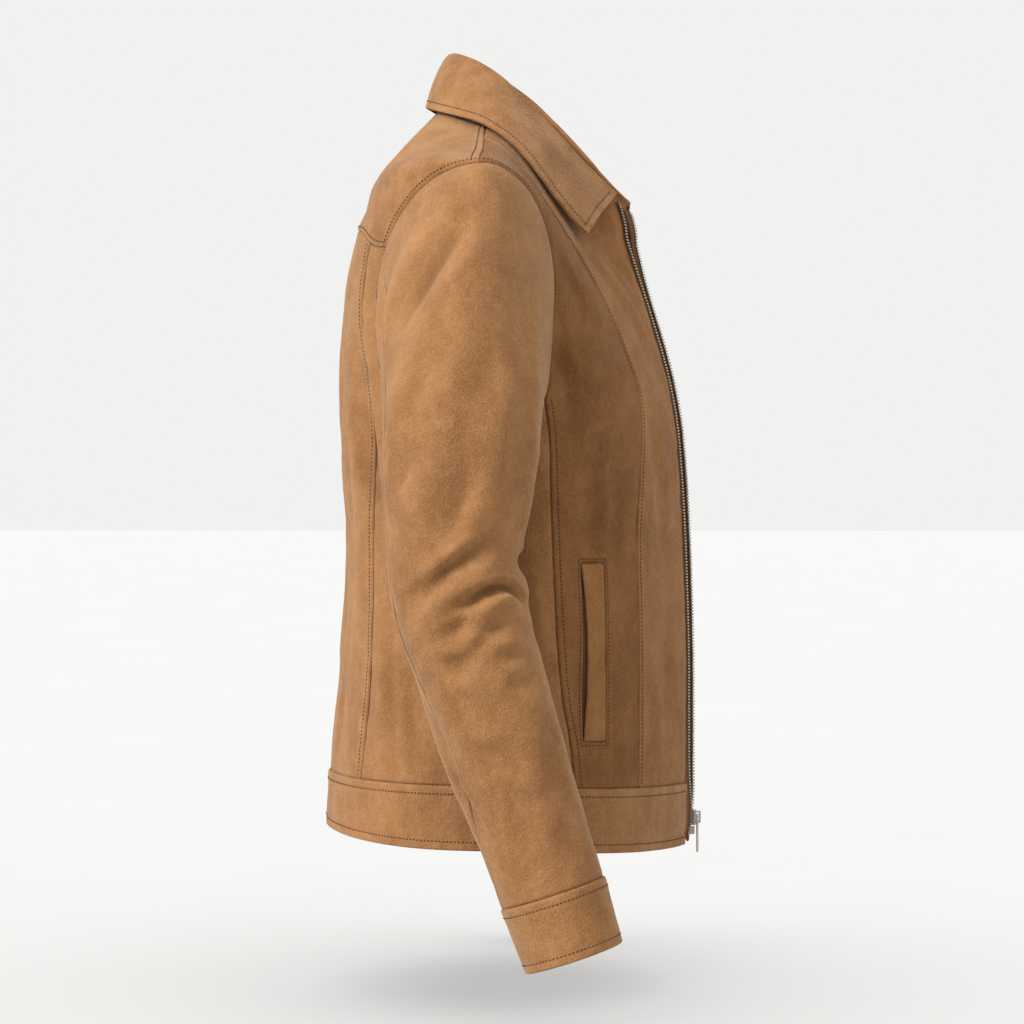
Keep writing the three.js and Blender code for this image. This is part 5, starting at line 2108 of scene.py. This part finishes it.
@dataclass
class Zip:
    """The open zip: two tapes with their teeth, the slider, pull, box and pin."""

    pattern: Pattern
    wardrobe: Wardrobe
    tape_under: float = 9.0
    tape_clear: float = 0.4
    tape_wall: float = 1.0
    tape_drop: float = 2.3
    chain_rise: float = 0.8
    pitch: float = 2.4
    tooth: tuple[float, float, float] = (2.7, 1.3, 2.3)
    bead: float = 0.7

    def _sections(self) -> tuple[Array, Array, Array, Array]:
        """What the zip follows, from the top down.

        Returns:
            Suede edge, inward and outward directions, and reach of the chain.
        """
        upper = self.pattern.front(np.linspace(0, 1, 200))
        lower = np.linspace(BAND_TOP, -553, 20)[1:]
        angle = np.concatenate([upper[:, 0], BODY.front_angle(lower)])
        level = np.concatenate([upper[:, 1], lower])
        edge = BODY.point(angle, level)
        inward = unit(edge - BODY.point(angle + 1.2, level))
        normal = BODY.outward(angle, level)
        out = unit(normal - inward * np.sum(normal * inward, axis=-1, keepdims=True))
        edge = edge + normal * BODY_FOLDS.relief(angle, level)[:, None]
        across = np.maximum(0.5, np.abs(inward[:, 0]))
        reach = (BODY.front_gap("suede", level) - BODY.front_gap("chain", level)) / across
        return edge, inward, out, reach

    def _tape(self, side: str, mirror: Array) -> None:
        """One tape: a thin strip from under the suede to the chain.

        Args:
            side: The wearer's side.
            mirror: Factors that bring the right side there.
        """
        edge, inward, out, reach = self._sections()
        marks = np.array([-1.0, -0.6, -0.2, 0.0, 0.35, 0.6, 0.8, 0.92, 1.0])
        columns = []
        for mark in marks:
            place = np.where(
                mark < 0, -self.tape_under * -mark,
                self.tape_clear + (reach - self.tape_clear) * mark
            )
            rise = -self.tape_drop + (self.chain_rise + self.tape_drop) * soft(np.array(mark))
            columns.append(edge + inward * place[:, None] + out * rise)
        points = np.stack(columns, axis=1) * mirror
        normals = np.repeat(out[:, None], len(marks), axis=1) * mirror
        cloth = Cloth(
            f"zip_tape_{side}", points, normals, np.zeros(points.shape[:2]), marks / 2 + 0.5,
            np.linspace(0, 1, len(points)), {
                each: (HIDDEN,) for each in Side
            }, wall=self.tape_wall, seed=3,
        )
        piece = cloth.build([self.wardrobe.tape])
        dress(piece, f"zip_tape_{side}")
        declare(cloth, Held.HUNG)

    def _teeth(self, side: str, mirror: Array) -> None:
        """The teeth of one chain, down to the slider.

        Args:
            side: The wearer's side.
            mirror: Factors that bring the right side there.
        """
        edge, inward, out, reach = self._sections()
        chain = edge + inward * reach[:, None] + out * self.chain_rise
        length = lengths_along(chain)
        shift = 0.5 if side == "left" else 0.0
        where = np.arange(1.5 + shift * self.pitch, length[-1] - 3, self.pitch)
        down = unit(values_at(where + 1, length, chain) - values_at(where - 1, length, chain))
        towards, front = values_at(where, length, inward), unit(values_at(where, length, out))
        centre = values_at(where, length, chain)
        outline = [
            (-0.5, -0.28), (-0.34, -0.5), (0.3, -0.5), (0.5, -0.3), (0.5, 0.3), (0.3, 0.5),
            (-0.34, 0.5), (-0.5, 0.28)
        ]
        rings = []
        for low, size in ((-0.5, 0.8), (-0.25, 1.0), (0.25, 1.0), (0.5, 0.8)):
            for x, y in outline:
                rings.append(
                    centre + towards * x * self.tooth[0] * size + front * y * self.tooth[2] * size
                    + down * low * self.tooth[1]
                )
        vertices = np.stack(rings, axis=1) * mirror
        n = len(outline)
        faces: list[tuple[int, ...]] = [tuple(range(n))[::-1], tuple(range(3 * n, 4 * n))]
        for r in range(3):
            for k in range(n):
                a, b = r * n + k, r * n + (k + 1) % n
                faces.append((a, b, b + n, a + n))
        if side == "left":
            faces = [face[::-1] for face in faces]
        all_faces = [
            tuple(i + start for i in face) for start in range(0, len(vertices) * 4 * n, 4 * n)
            for face in faces
        ]
        piece = mesh_object(
            f"zip_teeth_{side}", vertices.reshape(-1, 3) * MM, all_faces, [self.wardrobe.metal]
        )
        piece.data.polygons.foreach_set("use_smooth", [False] * len(piece.data.polygons))
        dress(piece, None)
        LOG.info("zip %s: %d teeth", side, len(vertices))

    def _hardware(self, node: str, bevel: float, body: str) -> None:
        """A metal piece of the frame with rounded edges.

        Args:
            node: The frame's node.
            bevel: Width of the rounding, in millimetres.
            body: Body that it rides.
        """
        source = frame["nodes"][node]
        mesh = bmesh.new()
        mesh.from_mesh(source.data)
        bmesh.ops.remove_doubles(mesh, verts=mesh.verts, dist=1e-6)
        bmesh.ops.dissolve_limit(
            mesh, angle_limit=math.radians(2), verts=mesh.verts, edges=mesh.edges
        )
        sharp = [
            e for e in mesh.edges
            if len(e.link_faces) == 2 and e.calc_face_angle(0) > math.radians(25)
        ]
        bmesh.ops.bevel(
            mesh, geom=sharp, offset=bevel * MM, segments=3, profile=0.6, affect="EDGES",
            clamp_overlap=True
        )
        data = bpy.data.meshes.new(f"{node}_rounded")
        mesh.to_mesh(data)
        mesh.free()
        data.materials.clear()
        data.materials.append(self.wardrobe.metal)
        data.polygons.foreach_set("use_smooth", [True] * len(data.polygons))
        dress(placed(f"{node}_rounded", data), node, body)

    def build(self) -> None:
        """Builds the whole zip."""
        for side, mirror in (("right", np.ones(3)), ("left", np.array([-1.0, 1.0, 1.0]))):
            self._tape(side, mirror)
            self._teeth(side, mirror)
        for node, bevel in (("zip_slider", 0.35), ("zip_box", 0.5), ("zip_pin", 0.5)):
            self._hardware(node, bevel, JACKET)
        self._hardware("zip_pull", 0.35, PULL)
        LOG.info("zip: tapes, teeth, slider, pull, box and pin")


# Studio


class LampKind(Enum):
    """The kinds of light in the studio."""

    SUN = "SUN"
    AREA = "AREA"


@dataclass(frozen=True)
class Lamp:
    """A soft light that looks at the jacket's middle.

    A sun's power is per square metre and its spread in degrees. An area's power is in watts and
    its spread in metres.
    """

    name: str
    kind: LampKind
    place: tuple[float, float, float]
    power: float
    spread: float
    tint: tuple[float, float, float] = (1, 1, 1)
    aim: tuple[float, float, float] = (0, 0, -0.3)

    def build(self) -> Piece:
        """Makes the light.

        Returns:
            The light's object.
        """
        lamp = bpy.data.lights.new(self.name, self.kind.value)
        lamp.energy, lamp.color = self.power, self.tint
        if self.kind is LampKind.SUN:
            lamp.angle = math.radians(self.spread)
        else:
            lamp.size = self.spread
        made = placed(self.name, lamp)
        made.location = self.place
        x, y, z = np.array(self.aim) - np.array(self.place)
        tilt, swing = math.atan2(z, math.hypot(x, y)), math.atan2(y, x)
        made.rotation_euler = (tilt + math.pi / 2, 0, swing - math.pi / 2)
        return made


@dataclass(frozen=True)
class Studio:
    """A pale floor and an even sky under soft light, and the camera of the photo."""

    floor: float = -0.682
    floor_reach: float = 60.0
    floor_glow: float = 0.32
    distance: float = 2.5
    side_shift: float = 0.008
    height: float = -0.306
    turn: float = 10.0
    lens: float = 109.9
    sensor: float = 36.0
    sky: float = 0.88
    key: Lamp = Lamp("key", LampKind.SUN, (-1.5, 1.55, 1.15), 3.75, 20, (0.97, 1, 1.06))
    top: Lamp = Lamp("top", LampKind.SUN, (0.0, 0.02, 2.0), 0.9, 80)
    fill: Lamp = Lamp("fill", LampKind.AREA, (-1.1, -2.3, 0.2), 1.0, 1.6, (1, 0.97, 0.93))

    def build(self) -> None:
        """Sets up camera, lights and floor, and keeps the key light off the floor."""
        self._camera()
        floor = self._floor()
        key = self.key.build()
        self.top.build()
        self.fill.build().visible_camera = False
        unlit = bpy.data.collections.new("not_lit_by_key")
        unlit.objects.link(floor)
        unlit.collection_objects[0].light_linking.link_state = "EXCLUDE"
        key.light_linking.receiver_collection = unlit
        self._sky()
        bpy.context.scene.view_settings.view_transform = "Standard"

    def _camera(self) -> None:
        """Sets up the camera as in the photo."""
        turn = math.radians(self.turn)
        camera = bpy.data.cameras.new("photo_camera")
        camera.lens, camera.sensor_width = self.lens, self.sensor
        made = placed("photo_camera", camera)
        made.location = (
            -self.distance * math.cos(turn) + self.side_shift * math.sin(turn),
            -self.distance * math.sin(turn) - self.side_shift * math.cos(turn), self.height,
        )
        made.rotation_euler = (math.pi / 2, 0, turn - math.pi / 2)
        bpy.context.scene.camera = made

    def _sky(self) -> None:
        """Sets up an even pale sky."""
        world = bpy.data.worlds.new("studio")
        world.use_nodes = True
        background = world.node_tree.nodes["Background"]
        background.inputs["Color"].default_value = (1, 1, 0.992, 1)
        background.inputs["Strength"].default_value = self.sky
        bpy.context.scene.world = world

    def _floor(self) -> Piece:
        """A wide pale floor.

        Returns:
            The floor's object.
        """
        nodes = NodeTree("studio_floor")
        uneven = nodes.spread(nodes.noise(3, 2), 0.3, 0.7)
        nodes.shade("Base Color", nodes.mix(uneven, (0.5, 0.5, 0.495), (0.515, 0.515, 0.51)))
        nodes.shade("Emission Color", (1, 1, 0.995, 1))
        nodes.shade("Emission Strength", self.floor_glow)
        nodes.shade("Roughness", 0.9)
        size, level = self.floor_reach, self.floor
        corners = np.array(
            [[x, y, level] for x, y in ((-size, -size), (size, -size), (size, size), (-size, size))]
        )
        floor = mesh_object("studio_floor", corners, [(0, 1, 2, 3)], [nodes.material])
        return floor


def main() -> None:
    """Builds the jacket and its studio."""
    logging.basicConfig(level=logging.INFO, format="%(name)s: %(message)s")
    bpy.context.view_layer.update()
    wardrobe = Wardrobe()
    pattern = Pattern()
    BodyPanels(pattern, wardrobe).build()
    SleevePair(pattern, wardrobe).build()
    Collar(wardrobe).build()
    Zip(pattern, wardrobe).build()
    Studio().build()


if __name__ == "__main__":
    main()
